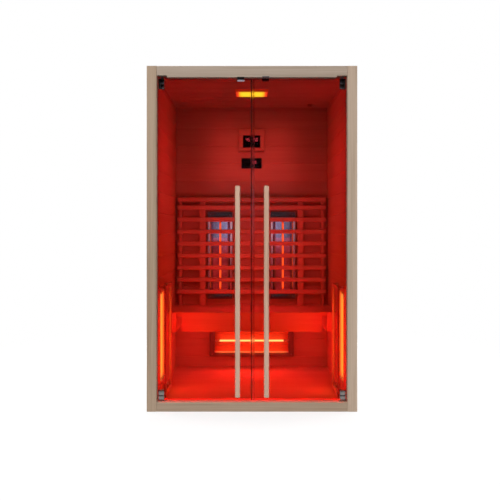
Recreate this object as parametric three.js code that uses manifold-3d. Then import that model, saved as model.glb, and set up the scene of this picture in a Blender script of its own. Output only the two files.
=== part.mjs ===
import * as THREE from 'three';
import { mergeVertices } from 'three/addons/utils/BufferGeometryUtils.js';
import Module from 'manifold-3d';

// Infrared sauna cabin for two people, in millimetres.
// X runs to the right, Y to the back and Z up. The origin is on the ground under the middle of the cabin.

// Cabin, over its walls, front frame and roof
const CABIN_WIDTH = 1200;
const CABIN_DEPTH = 1000;
const CABIN_HEIGHT = 1970;

// Clearance left between neighbouring pieces
const FIT = 0.3;

// Front frame
const STILE_WIDTH = 56;
const FRAME_DEPTH = 77;
const HEADER_HEIGHT = 65;
const SILL_HEIGHT = 54;
const FRAME_CHAMFER = 2;

// Shell: each wall is a skin with a cavity on its inner side, closed by planked lining
const LINING_THICKNESS = 12;
const CAVITY_DEPTH = 21;
const SKIN_THICKNESS = 12;
const WALL_RAIL_WIDTH = 40;
const FLOOR_THICKNESS = 33;
const ROOF_THICKNESS = 25;
const PLANK_PITCH = 128.5;
const FIRST_PLANK = 75;
const GROOVE_DEPTH = 2.5;

// Bench
const BENCH_HEIGHT = 488;
const BENCH_SETBACK = 548;
const SEAT_THICKNESS = 28;
const SEAT_BOARD_COUNT = 4;
const FASCIA_HEIGHT = 130;
const FASCIA_THICKNESS = 22;
const FASCIA_SLOT = 34;
const BEARER_WIDTH = 55;

// Backrest
const BACKREST_DEPTH = 75;
const BACKREST_SIDE_GAP = 20;
const SLAT_COUNT = 8;
const SLAT_HEIGHT = 30;
const SLAT_THICKNESS = 18;
const SLAT_PITCH = 87;
const SLAT_RISE = 86;
const SLAT_CHAMFER = 3;
const CAP_HEIGHT = 30;
const CAP_GAP = 27;
const CAP_NOSING = 4;
const END_BATTEN_WIDTH = 20;
const END_BATTEN_INSET = 9;
const INNER_BATTEN_WIDTH = 44;
const INNER_BATTEN_GAP = 17;

// Heaters: a quartz tube in a trough between two sockets
const TUBE_RADIUS = 6.5;
const TUBE_SINK = 11;
const SOCKET_RADIUS = 10;
const SOCKET_LENGTH = 24;
const HEATER_END = 37;
const TROUGH_MOUTH = 152;
const TROUGH_FLOOR = 84;
const TROUGH_BACKING = 4;
const BACK_HEATER_LENGTH = 630;
const BACK_HEATER_WIDTH = 176;
const BACK_HEATER_DEPTH = 44;
const BACK_HEATER_X = 228;
const BACK_HEATER_RISE = 47;
const BENCH_HEATER_LENGTH = 610;
const BENCH_HEATER_WIDTH = 226;
const BENCH_HEATER_DEPTH = 50;
const BENCH_HEATER_RISE = 84;
const SIDE_HEATER_LENGTH = 610;
const SIDE_HEATER_WIDTH = 222;
const SIDE_HEATER_SETBACK = 99;
const SIDE_HEATER_RISE = 6;

// Wooden guards in front of the side heaters
const GUARD_STANDOFF = 31;
const GUARD_THICKNESS = 12;
const GUARD_POST = 22;
const GUARD_RAIL = 20;
const GUARD_MARGIN = 9;

// Controls on the back wall
const CONTROL_WIDTH = 185;
const CONTROL_HEIGHT = 168;
const CONTROL_DEPTH = 38;
const CONTROL_DROP = 163;
const DISPLAY_WIDTH = 124;
const DISPLAY_HEIGHT = 88;
const DISPLAY_THICKNESS = 10;
const DISPLAY_PROUD = 1;
const DISPLAY_DROP = 6.5;
const MEDIA_WIDTH = 147;
const MEDIA_HEIGHT = 74;
const MEDIA_THICKNESS = 12;
const MEDIA_GAP = 41;

// Ceiling lamp and temperature sensor
const LENS_LENGTH = 200;
const LENS_WIDTH = 136;
const LENS_THICKNESS = 9;
const LENS_PROUD = 2;
const LAMP_RIM = 5;
const LAMP_DEPTH = 16;
const LAMP_SETBACK = 466;
const SENSOR_RADIUS = 20;
const SENSOR_HEIGHT = 14;
const SENSOR_SIDE_GAP = 137;
const SENSOR_BACK_GAP = 108;

// Power module on the roof, under a cover with the gland that the supply cable enters by
const POWER_COVER_WIDTH = 320;
const POWER_COVER_DEPTH = 220;
const POWER_COVER_HEIGHT = 70;
const POWER_COVER_WALL = 3;
const POWER_COVER_SIDE_GAP = 140;
const POWER_COVER_BACK_GAP = 130;
const POWER_MODULE_MARGIN = 40;
const POWER_MODULE_HEIGHT = 38;
const GLAND_RADIUS = 12;
const GLAND_NUT_RADIUS = 16;
const GLAND_NUT_LENGTH = 8;
const GLAND_LENGTH = 26;
const GLAND_BORE = 5;

// Glass doors
const GLASS_THICKNESS = 8;
const GLASS_SETBACK = 30;
const GLASS_EDGE_GAP = 3;
const GLASS_END_GAP = 4;
const MEETING_GAP = 4;

// Pivot patches that clamp the glass corners, and the pivots that they turn on.
// The top pivots stand in recesses at the ends of the header.
const HINGE_INSET = 28;
const PATCH_TAIL = 21;
const PATCH_REACH = 12;
const PATCH_THICKNESS = 24;
const PATCH_HEIGHT = 57;
const PATCH_CHAMFER = 2;
const PATCH_GAP = 3;
const HUB_HEIGHT = 30;
const PIN_RADIUS = 5;
const PIN_CLEARANCE = 0.4;
const PIN_LENGTH = 14;
const PIVOT_BASE_WIDTH = 14;
const PIVOT_BASE_DEPTH = 30;
const PIVOT_RECESS_WIDTH = 60;
const PIVOT_RECESS_HEIGHT = 10;

// Door handles and catches
const HANDLE_SIZE = 28;
const HANDLE_LENGTH = 1199;
const HANDLE_BOTTOM = 86;
const HANDLE_X = 82;
const HANDLE_REACH = 28;
const HANDLE_CHAMFER = 4;
const FOOT_RADIUS = 11;
const FOOT_INSET = 150;
const CATCH_WIDTH = 40;
const CATCH_DEPTH = 24;
const CATCH_HEIGHT = 9;
const CATCH_GAP = 0.5;
const LEFT_CATCH_X = -64;
const RIGHT_CATCH_X = 78;

// Facets of a full circle, and how far joined or cutting solids run into their neighbours
const ROUND_FACETS = 24;
const OVERLAP = 1;

// Planes that the pieces are set out from
const WALL_THICKNESS = LINING_THICKNESS + CAVITY_DEPTH + SKIN_THICKNESS;
const OUTER_X = CABIN_WIDTH / 2;
const CAVITY_X = OUTER_X - SKIN_THICKNESS - CAVITY_DEPTH;
const INNER_X = OUTER_X - WALL_THICKNESS;
const OPENING_X = OUTER_X - STILE_WIDTH;
const FRONT_Y = -CABIN_DEPTH / 2;
const FRAME_BACK_Y = FRONT_Y + FRAME_DEPTH;
const SHELL_FRONT_Y = FRAME_BACK_Y + FIT;
const BACK_Y = CABIN_DEPTH / 2;
const CAVITY_BACK_Y = BACK_Y - SKIN_THICKNESS - CAVITY_DEPTH;
const INNER_BACK_Y = BACK_Y - WALL_THICKNESS;
const ROOF_Z = CABIN_HEIGHT - ROOF_THICKNESS;
const CEILING_Z = ROOF_Z - LINING_THICKNESS;
const OPENING_TOP = CABIN_HEIGHT - HEADER_HEIGHT;
const WALL_BOTTOM = FLOOR_THICKNESS + FIT;
const WALL_HEIGHT = ROOF_Z - FIT - WALL_BOTTOM;
const WALL_MIDDLE_Z = WALL_BOTTOM + WALL_HEIGHT / 2;
const SEAT_FRONT_Y = FRONT_Y + BENCH_SETBACK + FASCIA_THICKNESS + FIT;
const SLAT_FRONT_Y = INNER_BACK_Y - BACKREST_DEPTH;
const GLASS_Y = FRONT_Y + GLASS_SETBACK + GLASS_THICKNESS / 2;
const HINGE_X = OPENING_X - HINGE_INSET;

const FINISHES = {
  frameWood: { color: 0xb39c85, roughness: 0.6, metalness: 0 },
  shellWood: { color: 0xbfa486, roughness: 0.65, metalness: 0 },
  liningWood: { color: 0xc49a78, roughness: 0.6, metalness: 0 },
  handleWood: { color: 0xc9a894, roughness: 0.5, metalness: 0 },
  heaterMetal: { color: 0x8f9096, roughness: 0.35, metalness: 1 },
  glowingTube: { color: 0xff8c32, roughness: 0.3, metalness: 0, emissive: 0xff5a14 },
  lampLens: { color: 0xffe08a, roughness: 0.4, metalness: 0, emissive: 0xffc832 },
  blackPlastic: { color: 0x141415, roughness: 0.4, metalness: 0 },
  paintedSteel: { color: 0xd8d8d4, roughness: 0.5, metalness: 0.3 },
  satinSteel: { color: 0x8c8c8e, roughness: 0.35, metalness: 1 },
  clearGlass: { color: 0xdfe8e4, roughness: 0.05, metalness: 0, transparent: true, opacity: 0.3 },
};

const wasm = await Module();
wasm.setup();

const cabin = new THREE.Group();

// Adds one named piece, with a material of its own, to a group.
function addPiece(group, name, geometry, finish, position) {
  const mesh = new THREE.Mesh(geometry, new THREE.MeshStandardMaterial(FINISHES[finish]));
  mesh.name = name;
  mesh.position.set(...position);
  group.add(mesh);
  return mesh;
}

// Closed solid with shared corners, for joining and cutting.
function solidOf(geometry) {
  const bare = geometry.clone();
  bare.deleteAttribute('normal');
  bare.deleteAttribute('uv');
  const merged = mergeVertices(bare);
  const vertProperties = new Float32Array(merged.attributes.position.array);
  const triVerts = new Uint32Array(merged.index.array);
  return new wasm.Manifold(new wasm.Mesh({ numProp: 3, vertProperties, triVerts }));
}

function geometryOf(solid) {
  const mesh = solid.getMesh();
  const geometry = new THREE.BufferGeometry();
  geometry.setAttribute('position', new THREE.BufferAttribute(mesh.vertProperties, 3));
  geometry.setIndex(new THREE.BufferAttribute(mesh.triVerts, 1));
  geometry.computeVertexNormals();
  return geometry;
}

// Joins the second and later geometries to the first.
function joined(first, ...others) {
  return geometryOf(others.reduce((solid, other) => solid.add(solidOf(other)), solidOf(first)));
}

// Cuts the second and later geometries out of the first.
function cut(first, ...others) {
  return geometryOf(others.reduce((solid, other) => solid.subtract(solidOf(other)), solidOf(first)));
}

function box(width, depth, height, x = 0, y = 0, z = 0) {
  return new THREE.BoxGeometry(width, depth, height).translate(x, y, z);
}

// Round bar with its middle at the origin, along Y or Z.
function bar(radius, length, axis) {
  const geometry = new THREE.CylinderGeometry(radius, radius, length, ROUND_FACETS);
  return axis === 'z' ? geometry.rotateX(Math.PI / 2) : geometry;
}

// Section axes of an extrusion: Y and Z along x, Z and X along y, X and Y along z.
const UNIT_X = new THREE.Vector3(1, 0, 0);
const UNIT_Y = new THREE.Vector3(0, 1, 0);
const UNIT_Z = new THREE.Vector3(0, 0, 1);
const SECTION_FRAMES = {
  x: new THREE.Matrix4().makeBasis(UNIT_Y, UNIT_Z, UNIT_X),
  y: new THREE.Matrix4().makeBasis(UNIT_Z, UNIT_X, UNIT_Y),
  z: new THREE.Matrix4().makeBasis(UNIT_X, UNIT_Y, UNIT_Z),
};

function outline(points) {
  return new THREE.Shape(points.map(([a, b]) => new THREE.Vector2(a, b)));
}

// Extrusion of a shape, with the middle of its length at the origin.
function extruded(shape, length, axis) {
  const settings = { depth: length, bevelEnabled: false, curveSegments: ROUND_FACETS / 4 };
  const geometry = new THREE.ExtrudeGeometry(shape, settings);
  return geometry.translate(0, 0, -length / 2).applyMatrix4(SECTION_FRAMES[axis]);
}

// Straight board with its long edges chamfered; the section's sizes follow SECTION_FRAMES.
function board(sectionA, sectionB, length, axis, chamfer) {
  const a = sectionA / 2;
  const b = sectionB / 2;
  const shape = outline([
    [chamfer - a, -b],
    [a - chamfer, -b],
    [a, chamfer - b],
    [a, b - chamfer],
    [a - chamfer, b],
    [chamfer - a, b],
    [-a, b - chamfer],
    [-a, chamfer - b],
  ]);
  return extruded(shape, length, axis);
}

// Slab of planks along X with V-grooves between them, its grooved face towards -Y.
function planking(length, width, thickness, pitch, firstPlank) {
  const face = -thickness / 2;
  const edge = width / 2;
  const points = [[-face, edge], [-face, -edge], [face, -edge]];
  for (let groove = firstPlank - edge; groove < edge - GROOVE_DEPTH; groove += pitch) {
    points.push([face, groove - GROOVE_DEPTH], [face + GROOVE_DEPTH, groove], [face, groove + GROOVE_DEPTH]);
  }
  points.push([face, edge]);
  return extruded(outline(points), length, 'x');
}

function sideName(side) {
  return side < 0 ? 'left' : 'right';
}

// Front frame: full-height stiles with the header and sill between them
const frameMiddleY = FRONT_Y + FRAME_DEPTH / 2;
for (const side of [-1, 1]) {
  const stile = board(STILE_WIDTH, FRAME_DEPTH, CABIN_HEIGHT, 'z', FRAME_CHAMFER);
  const stilePlace = [side * (OUTER_X - STILE_WIDTH / 2), frameMiddleY, CABIN_HEIGHT / 2];
  addPiece(cabin, `front_stile_${sideName(side)}`, stile, 'frameWood', stilePlace);
}
const railLength = 2 * (OPENING_X - FIT);
const pivotRecesses = [-1, 1].map((side) => box(
  PIVOT_RECESS_WIDTH + OVERLAP,
  FRAME_DEPTH + 2 * OVERLAP,
  PIVOT_RECESS_HEIGHT + OVERLAP,
  side * (railLength - PIVOT_RECESS_WIDTH + OVERLAP) / 2,
  0,
  (PIVOT_RECESS_HEIGHT - OVERLAP - HEADER_HEIGHT) / 2,
));
const header = cut(board(FRAME_DEPTH, HEADER_HEIGHT, railLength, 'x', FRAME_CHAMFER), ...pivotRecesses);
addPiece(cabin, 'front_header', header, 'frameWood', [0, frameMiddleY, OPENING_TOP + HEADER_HEIGHT / 2]);
const sill = board(FRAME_DEPTH, SILL_HEIGHT, railLength, 'x', FRAME_CHAMFER);
addPiece(cabin, 'front_sill', sill, 'frameWood', [0, frameMiddleY, SILL_HEIGHT / 2]);

// Floor and roof panels, over the whole plan behind the front frame
const shellDepth = BACK_Y - SHELL_FRONT_Y;
const shellMiddleY = SHELL_FRONT_Y + shellDepth / 2;
const floorPanel = box(CABIN_WIDTH, shellDepth, FLOOR_THICKNESS);
addPiece(cabin, 'floor_panel', floorPanel, 'liningWood', [0, shellMiddleY, FLOOR_THICKNESS / 2]);
const roofPanel = box(CABIN_WIDTH, shellDepth, ROOF_THICKNESS);
addPiece(cabin, 'roof_panel', roofPanel, 'shellWood', [0, shellMiddleY, ROOF_Z + ROOF_THICKNESS / 2]);

// Wall panel with its planked face towards +Y, its cavity open towards -Y and a rail left all round it.
function wallPanel(length) {
  const thickness = CAVITY_DEPTH + SKIN_THICKNESS;
  const cavityLength = length - 2 * WALL_RAIL_WIDTH;
  const cavityHeight = WALL_HEIGHT - 2 * WALL_RAIL_WIDTH;
  const cavity = box(cavityLength, CAVITY_DEPTH + OVERLAP, cavityHeight);
  cavity.translate(0, -(thickness + OVERLAP - CAVITY_DEPTH) / 2, 0);
  const planks = planking(length, WALL_HEIGHT, thickness, PLANK_PITCH, FIRST_PLANK).rotateZ(Math.PI);
  return cut(planks, cavity);
}

const backWallLength = 2 * (CAVITY_X - FIT);
const backWallY = BACK_Y - (CAVITY_DEPTH + SKIN_THICKNESS) / 2;
addPiece(cabin, 'back_wall', wallPanel(backWallLength), 'shellWood', [0, backWallY, WALL_MIDDLE_Z]);

const liningSheet = LINING_THICKNESS - FIT;
const backLining = planking(2 * (INNER_X - FIT), WALL_HEIGHT, liningSheet, PLANK_PITCH, FIRST_PLANK);
addPiece(cabin, 'back_lining', backLining, 'liningWood', [0, INNER_BACK_Y + liningSheet / 2, WALL_MIDDLE_Z]);

const ceilingDepth = INNER_BACK_Y - FIT - SHELL_FRONT_Y;
const ceilingLining = planking(2 * (INNER_X - FIT), ceilingDepth, liningSheet, PLANK_PITCH, FIRST_PLANK);
const ceilingPlace = [0, SHELL_FRONT_Y + ceilingDepth / 2, CEILING_Z + liningSheet / 2];
addPiece(cabin, 'ceiling_lining', ceilingLining, 'liningWood', ceilingPlace).rotation.x = Math.PI / 2;

// Side walls, with a window in the lining that the side heater fills
const sideHeaterY = FRAME_BACK_Y + SIDE_HEATER_SETBACK + SIDE_HEATER_WIDTH / 2;
const sideHeaterZ = WALL_BOTTOM + WALL_RAIL_WIDTH + SIDE_HEATER_RISE + SIDE_HEATER_LENGTH / 2;
const sideLiningLength = CAVITY_BACK_Y - FIT - SHELL_FRONT_Y;
const sideLiningY = SHELL_FRONT_Y + sideLiningLength / 2;
for (const side of [-1, 1]) {
  const turn = -side * Math.PI / 2;
  const sideWallX = side * (CAVITY_X + (CAVITY_DEPTH + SKIN_THICKNESS) / 2);
  const sideWall = addPiece(cabin, `side_wall_${sideName(side)}`, wallPanel(shellDepth), 'shellWood',
    [sideWallX, shellMiddleY, WALL_MIDDLE_Z]);
  sideWall.rotation.z = turn;

  const planks = planking(sideLiningLength, WALL_HEIGHT, liningSheet, PLANK_PITCH, FIRST_PLANK);
  const window = box(SIDE_HEATER_WIDTH + 2 * FIT, LINING_THICKNESS + OVERLAP, SIDE_HEATER_LENGTH + 2 * FIT,
    -side * (sideHeaterY - sideLiningY), 0, sideHeaterZ - WALL_MIDDLE_Z);
  const sideLining = addPiece(cabin, `side_lining_${sideName(side)}`, cut(planks, window), 'liningWood',
    [side * (INNER_X + liningSheet / 2), sideLiningY, WALL_MIDDLE_Z]);
  sideLining.rotation.z = turn;
}

// Bench: a planked seat on two bearers along the side walls, behind a fascia
const benchFrontY = FRONT_Y + BENCH_SETBACK;
const seatBack = INNER_BACK_Y - FIT;
const seatDepth = seatBack - SEAT_FRONT_Y;
const seatBottom = BENCH_HEIGHT - SEAT_THICKNESS;
const fasciaBottom = BENCH_HEIGHT - FASCIA_HEIGHT;
const seatPitch = seatDepth / SEAT_BOARD_COUNT;
const seat = planking(2 * (INNER_X - FIT), seatDepth, SEAT_THICKNESS, seatPitch, seatPitch);
const seatPlace = [0, SEAT_FRONT_Y + seatDepth / 2, BENCH_HEIGHT - SEAT_THICKNESS / 2];
addPiece(cabin, 'bench_seat', seat, 'liningWood', seatPlace).rotation.x = -Math.PI / 2;

const fasciaLength = 2 * (INNER_X - BEARER_WIDTH - FASCIA_SLOT);
const fascia = board(FASCIA_THICKNESS, FASCIA_HEIGHT, fasciaLength, 'x', FRAME_CHAMFER);
const fasciaPlace = [0, benchFrontY + FASCIA_THICKNESS / 2, BENCH_HEIGHT - FASCIA_HEIGHT / 2];
addPiece(cabin, 'bench_fascia', fascia, 'liningWood', fasciaPlace);

const bearerOutline = outline([
  [fasciaBottom, benchFrontY],
  [BENCH_HEIGHT, benchFrontY],
  [BENCH_HEIGHT, benchFrontY + FASCIA_THICKNESS],
  [seatBottom - FIT, benchFrontY + FASCIA_THICKNESS],
  [seatBottom - FIT, seatBack],
  [fasciaBottom, seatBack],
].map(([z, y]) => [y, z]));
for (const side of [-1, 1]) {
  const bearer = extruded(bearerOutline, BEARER_WIDTH - FIT, 'x');
  const bearerX = side * (INNER_X - FIT - (BEARER_WIDTH - FIT) / 2);
  addPiece(cabin, `bench_bearer_${sideName(side)}`, bearer, 'liningWood', [bearerX, 0, 0]);
}

// Backrest: slats on a frame of battens that stands on the seat and carries a cap rail
const backrestHalf = INNER_X - BACKREST_SIDE_GAP;
const firstSlatZ = BENCH_HEIGHT + SLAT_RISE + SLAT_HEIGHT / 2;
const capBottom = firstSlatZ + (SLAT_COUNT - 1) * SLAT_PITCH + SLAT_HEIGHT / 2 + CAP_GAP;
const battenFrontY = SLAT_FRONT_Y + SLAT_THICKNESS + FIT;
const battenDepth = seatBack - battenFrontY;
const battenBottom = BENCH_HEIGHT + FIT;
const battenHeight = capBottom + OVERLAP - battenBottom;
const innerBattenX = BACK_HEATER_X + BACK_HEATER_WIDTH / 2 + INNER_BATTEN_GAP + INNER_BATTEN_WIDTH / 2;
const endBattenX = backrestHalf - END_BATTEN_INSET - END_BATTEN_WIDTH / 2;
function batten(width, x) {
  const middleY = battenFrontY + battenDepth / 2;
  return box(width, battenDepth, battenHeight, x, middleY, battenBottom + battenHeight / 2);
}
const capFrontY = SLAT_FRONT_Y - CAP_NOSING;
const capDepth = seatBack - capFrontY;
const cap = board(capDepth, CAP_HEIGHT, 2 * backrestHalf, 'x', SLAT_CHAMFER);
cap.translate(0, capFrontY + capDepth / 2, capBottom + CAP_HEIGHT / 2);
const backrestFrame = joined(
  cap,
  batten(END_BATTEN_WIDTH, -endBattenX),
  batten(INNER_BATTEN_WIDTH, -innerBattenX),
  batten(INNER_BATTEN_WIDTH, innerBattenX),
  batten(END_BATTEN_WIDTH, endBattenX),
);
addPiece(cabin, 'backrest_frame', backrestFrame, 'liningWood', [0, 0, 0]);
for (let index = 0; index < SLAT_COUNT; index += 1) {
  const slat = board(SLAT_THICKNESS, SLAT_HEIGHT, 2 * backrestHalf, 'x', SLAT_CHAMFER);
  const slatPlace = [0, SLAT_FRONT_Y + SLAT_THICKNESS / 2, firstSlatZ + index * SLAT_PITCH];
  addPiece(cabin, `backrest_slat_${index + 1}`, slat, 'liningWood', slatPlace);
}

// Heater along Z with its trough open towards -Y and its back on the plane of Y = 0.
function addHeater(name, length, width, depth) {
  const heater = new THREE.Group();
  const troughLength = length - 2 * HEATER_END;
  const mouth = TROUGH_MOUTH / 2;
  const trough = extruded(outline([
    [-mouth, -depth - OVERLAP],
    [mouth, -depth - OVERLAP],
    [mouth, -depth],
    [TROUGH_FLOOR / 2, -TROUGH_BACKING],
    [-TROUGH_FLOOR / 2, -TROUGH_BACKING],
    [-mouth, -depth],
  ]), troughLength, 'z');
  const tubeY = TUBE_SINK - depth;
  const socketZ = (troughLength - SOCKET_LENGTH + OVERLAP) / 2;
  const sockets = [-socketZ, socketZ].map(
    (z) => bar(SOCKET_RADIUS, SOCKET_LENGTH + OVERLAP, 'z').translate(0, tubeY, z),
  );
  const shell = cut(box(width, depth, length, 0, -depth / 2, 0), trough);
  addPiece(heater, `${name}_housing`, joined(shell, ...sockets), 'heaterMetal', [0, 0, 0]);
  const tubeLength = troughLength - 2 * (SOCKET_LENGTH + FIT);
  addPiece(heater, `${name}_tube`, bar(TUBE_RADIUS, tubeLength, 'z'), 'glowingTube', [0, tubeY, 0]);
  cabin.add(heater);
  return heater;
}

for (const side of [-1, 1]) {
  const backHeater = addHeater(`back_heater_${sideName(side)}`,
    BACK_HEATER_LENGTH, BACK_HEATER_WIDTH, BACK_HEATER_DEPTH);
  const backHeaterZ = BENCH_HEIGHT + BACK_HEATER_RISE + BACK_HEATER_LENGTH / 2;
  backHeater.position.set(side * BACK_HEATER_X, seatBack, backHeaterZ);

  const sideHeater = addHeater(`side_heater_${sideName(side)}`,
    SIDE_HEATER_LENGTH, SIDE_HEATER_WIDTH, LINING_THICKNESS + CAVITY_DEPTH - FIT);
  sideHeater.position.set(side * (CAVITY_X + CAVITY_DEPTH - FIT), sideHeaterY, sideHeaterZ);
  sideHeater.rotation.z = -side * Math.PI / 2;
}
const benchHeater = addHeater('bench_heater', BENCH_HEATER_LENGTH, BENCH_HEATER_WIDTH, BENCH_HEATER_DEPTH);
benchHeater.position.set(0, seatBack, FLOOR_THICKNESS + BENCH_HEATER_RISE + BENCH_HEATER_WIDTH / 2);
benchHeater.rotation.y = Math.PI / 2;

// Guards: a frame of two posts and two rails, held off the wall by a foot at each corner
const guardHalfWidth = SIDE_HEATER_WIDTH / 2 + GUARD_MARGIN;
const guardBottom = FLOOR_THICKNESS + FIT;
const guardHeight = sideHeaterZ + SIDE_HEATER_LENGTH / 2 + GUARD_MARGIN - guardBottom;
const guardFeetY = guardHalfWidth - GUARD_POST / 2;
const guardFeetZ = (guardHeight - GUARD_RAIL) / 2;
for (const side of [-1, 1]) {
  const frame = cut(
    box(GUARD_THICKNESS, 2 * guardHalfWidth, guardHeight),
    box(GUARD_THICKNESS + 2 * OVERLAP, 2 * (guardHalfWidth - GUARD_POST), guardHeight - 2 * GUARD_RAIL),
  );
  const footLength = GUARD_STANDOFF - FIT + OVERLAP;
  const footX = side * (GUARD_THICKNESS / 2 - OVERLAP + footLength / 2);
  const feet = [[-1, -1], [-1, 1], [1, -1], [1, 1]].map(
    ([y, z]) => box(footLength, GUARD_POST, GUARD_RAIL, footX, y * guardFeetY, z * guardFeetZ),
  );
  const guardX = side * (INNER_X - GUARD_STANDOFF - GUARD_THICKNESS / 2);
  const guardPlace = [guardX, sideHeaterY, guardBottom + guardHeight / 2];
  addPiece(cabin, `heater_guard_${sideName(side)}`, joined(frame, ...feet), 'liningWood', guardPlace);
}

// Control box with its display in a pocket, and the media panel under it
const controlZ = CEILING_Z - CONTROL_DROP - CONTROL_HEIGHT / 2;
const displayY = (DISPLAY_THICKNESS - CONTROL_DEPTH) / 2 - DISPLAY_PROUD;
const pocketDepth = DISPLAY_THICKNESS - DISPLAY_PROUD + FIT;
const displayPocket = box(DISPLAY_WIDTH + 2 * FIT, pocketDepth + OVERLAP, DISPLAY_HEIGHT + 2 * FIT,
  0, (pocketDepth - OVERLAP - CONTROL_DEPTH) / 2, -DISPLAY_DROP);
const controlGroup = new THREE.Group();
controlGroup.position.set(0, seatBack - CONTROL_DEPTH / 2, controlZ);
const controlBody = cut(box(CONTROL_WIDTH, CONTROL_DEPTH, CONTROL_HEIGHT), displayPocket);
addPiece(controlGroup, 'control_box', controlBody, 'liningWood', [0, 0, 0]);
const display = box(DISPLAY_WIDTH, DISPLAY_THICKNESS, DISPLAY_HEIGHT);
addPiece(controlGroup, 'control_display', display, 'blackPlastic', [0, displayY, -DISPLAY_DROP]);
cabin.add(controlGroup);
const mediaPanel = box(MEDIA_WIDTH, MEDIA_THICKNESS, MEDIA_HEIGHT);
const mediaZ = controlZ - CONTROL_HEIGHT / 2 - MEDIA_GAP - MEDIA_HEIGHT / 2;
addPiece(cabin, 'media_panel', mediaPanel, 'blackPlastic', [0, seatBack - MEDIA_THICKNESS / 2, mediaZ]);

// Ceiling lamp: a lens in the pocket of its housing
const lampGroup = new THREE.Group();
lampGroup.position.set(0, FRONT_Y + LAMP_SETBACK, CEILING_Z - FIT - LAMP_DEPTH / 2);
const lensSeat = LENS_THICKNESS - LENS_PROUD + FIT;
const lampPocket = box(LENS_LENGTH + 2 * FIT, LENS_WIDTH + 2 * FIT, lensSeat + OVERLAP,
  0, 0, (lensSeat - OVERLAP - LAMP_DEPTH) / 2);
const lampBody = box(LENS_LENGTH + 2 * LAMP_RIM, LENS_WIDTH + 2 * LAMP_RIM, LAMP_DEPTH);
addPiece(lampGroup, 'ceiling_lamp_housing', cut(lampBody, lampPocket), 'paintedSteel', [0, 0, 0]);
const lens = box(LENS_LENGTH, LENS_WIDTH, LENS_THICKNESS);
const lensZ = (LENS_THICKNESS - LAMP_DEPTH) / 2 - LENS_PROUD;
addPiece(lampGroup, 'ceiling_lamp_lens', lens, 'lampLens', [0, 0, lensZ]);
cabin.add(lampGroup);

const sensor = bar(SENSOR_RADIUS, SENSOR_HEIGHT, 'z');
addPiece(cabin, 'temperature_sensor', sensor, 'blackPlastic', [
  INNER_X - SENSOR_SIDE_GAP,
  INNER_BACK_Y - SENSOR_BACK_GAP,
  CEILING_Z - FIT - SENSOR_HEIGHT / 2,
]);

// Power module on the roof, and its cover with the cable gland on the back
const roofTop = CABIN_HEIGHT + FIT;
const powerGroup = new THREE.Group();
powerGroup.position.set(
  OUTER_X - POWER_COVER_SIDE_GAP - POWER_COVER_WIDTH / 2,
  BACK_Y - POWER_COVER_BACK_GAP - POWER_COVER_DEPTH / 2,
  roofTop,
);
const coverBody = box(POWER_COVER_WIDTH, POWER_COVER_DEPTH, POWER_COVER_HEIGHT, 0, 0, POWER_COVER_HEIGHT / 2);
const coverRoom = box(
  POWER_COVER_WIDTH - 2 * POWER_COVER_WALL,
  POWER_COVER_DEPTH - 2 * POWER_COVER_WALL,
  POWER_COVER_HEIGHT - POWER_COVER_WALL + OVERLAP,
).translate(0, 0, (POWER_COVER_HEIGHT - POWER_COVER_WALL - OVERLAP) / 2);

// Round bar along Y that starts inside the back wall of the cover and stands out by the given length.
function glandBar(radius, length) {
  const middleY = (POWER_COVER_DEPTH + length - OVERLAP) / 2;
  return bar(radius, length + OVERLAP, 'y').translate(0, middleY, POWER_COVER_HEIGHT / 2);
}
const glandBore = bar(GLAND_BORE, 2 * (GLAND_LENGTH + POWER_COVER_WALL + OVERLAP), 'y');
glandBore.translate(0, POWER_COVER_DEPTH / 2, POWER_COVER_HEIGHT / 2);
const coverWithGland = joined(
  coverBody,
  glandBar(GLAND_NUT_RADIUS, GLAND_NUT_LENGTH),
  glandBar(GLAND_RADIUS, GLAND_LENGTH),
);
addPiece(powerGroup, 'power_cover', cut(coverWithGland, coverRoom, glandBore), 'paintedSteel', [0, 0, 0]);
const powerModule = box(
  POWER_COVER_WIDTH - 2 * POWER_MODULE_MARGIN,
  POWER_COVER_DEPTH - 2 * POWER_MODULE_MARGIN,
  POWER_MODULE_HEIGHT,
);
addPiece(powerGroup, 'power_module', powerModule, 'blackPlastic', [0, 0, POWER_MODULE_HEIGHT / 2]);
cabin.add(powerGroup);

// Pane with its two hinge corners cut away round the patches.
// Inward is the sign of X from the hinge to the edge where the doors meet.
function doorPane(inward) {
  const bottom = SILL_HEIGHT + GLASS_END_GAP;
  const top = OPENING_TOP - GLASS_END_GAP;
  const notchBottom = SILL_HEIGHT + PATCH_GAP + HUB_HEIGHT + FIT;
  const notchTop = OPENING_TOP - PATCH_GAP - HUB_HEIGHT - FIT;
  const notchSide = PATCH_REACH + FIT;
  const hingeSide = GLASS_EDGE_GAP - HINGE_INSET;
  const meetingSide = HINGE_X - MEETING_GAP / 2;
  const shape = outline([
    [notchSide, bottom],
    [meetingSide, bottom],
    [meetingSide, top],
    [notchSide, top],
    [notchSide, notchTop],
    [hingeSide, notchTop],
    [hingeSide, notchBottom],
    [notchSide, notchBottom],
  ].map(([along, z]) => [z, inward * along]));
  return extruded(shape, GLASS_THICKNESS, 'y');
}

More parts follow.
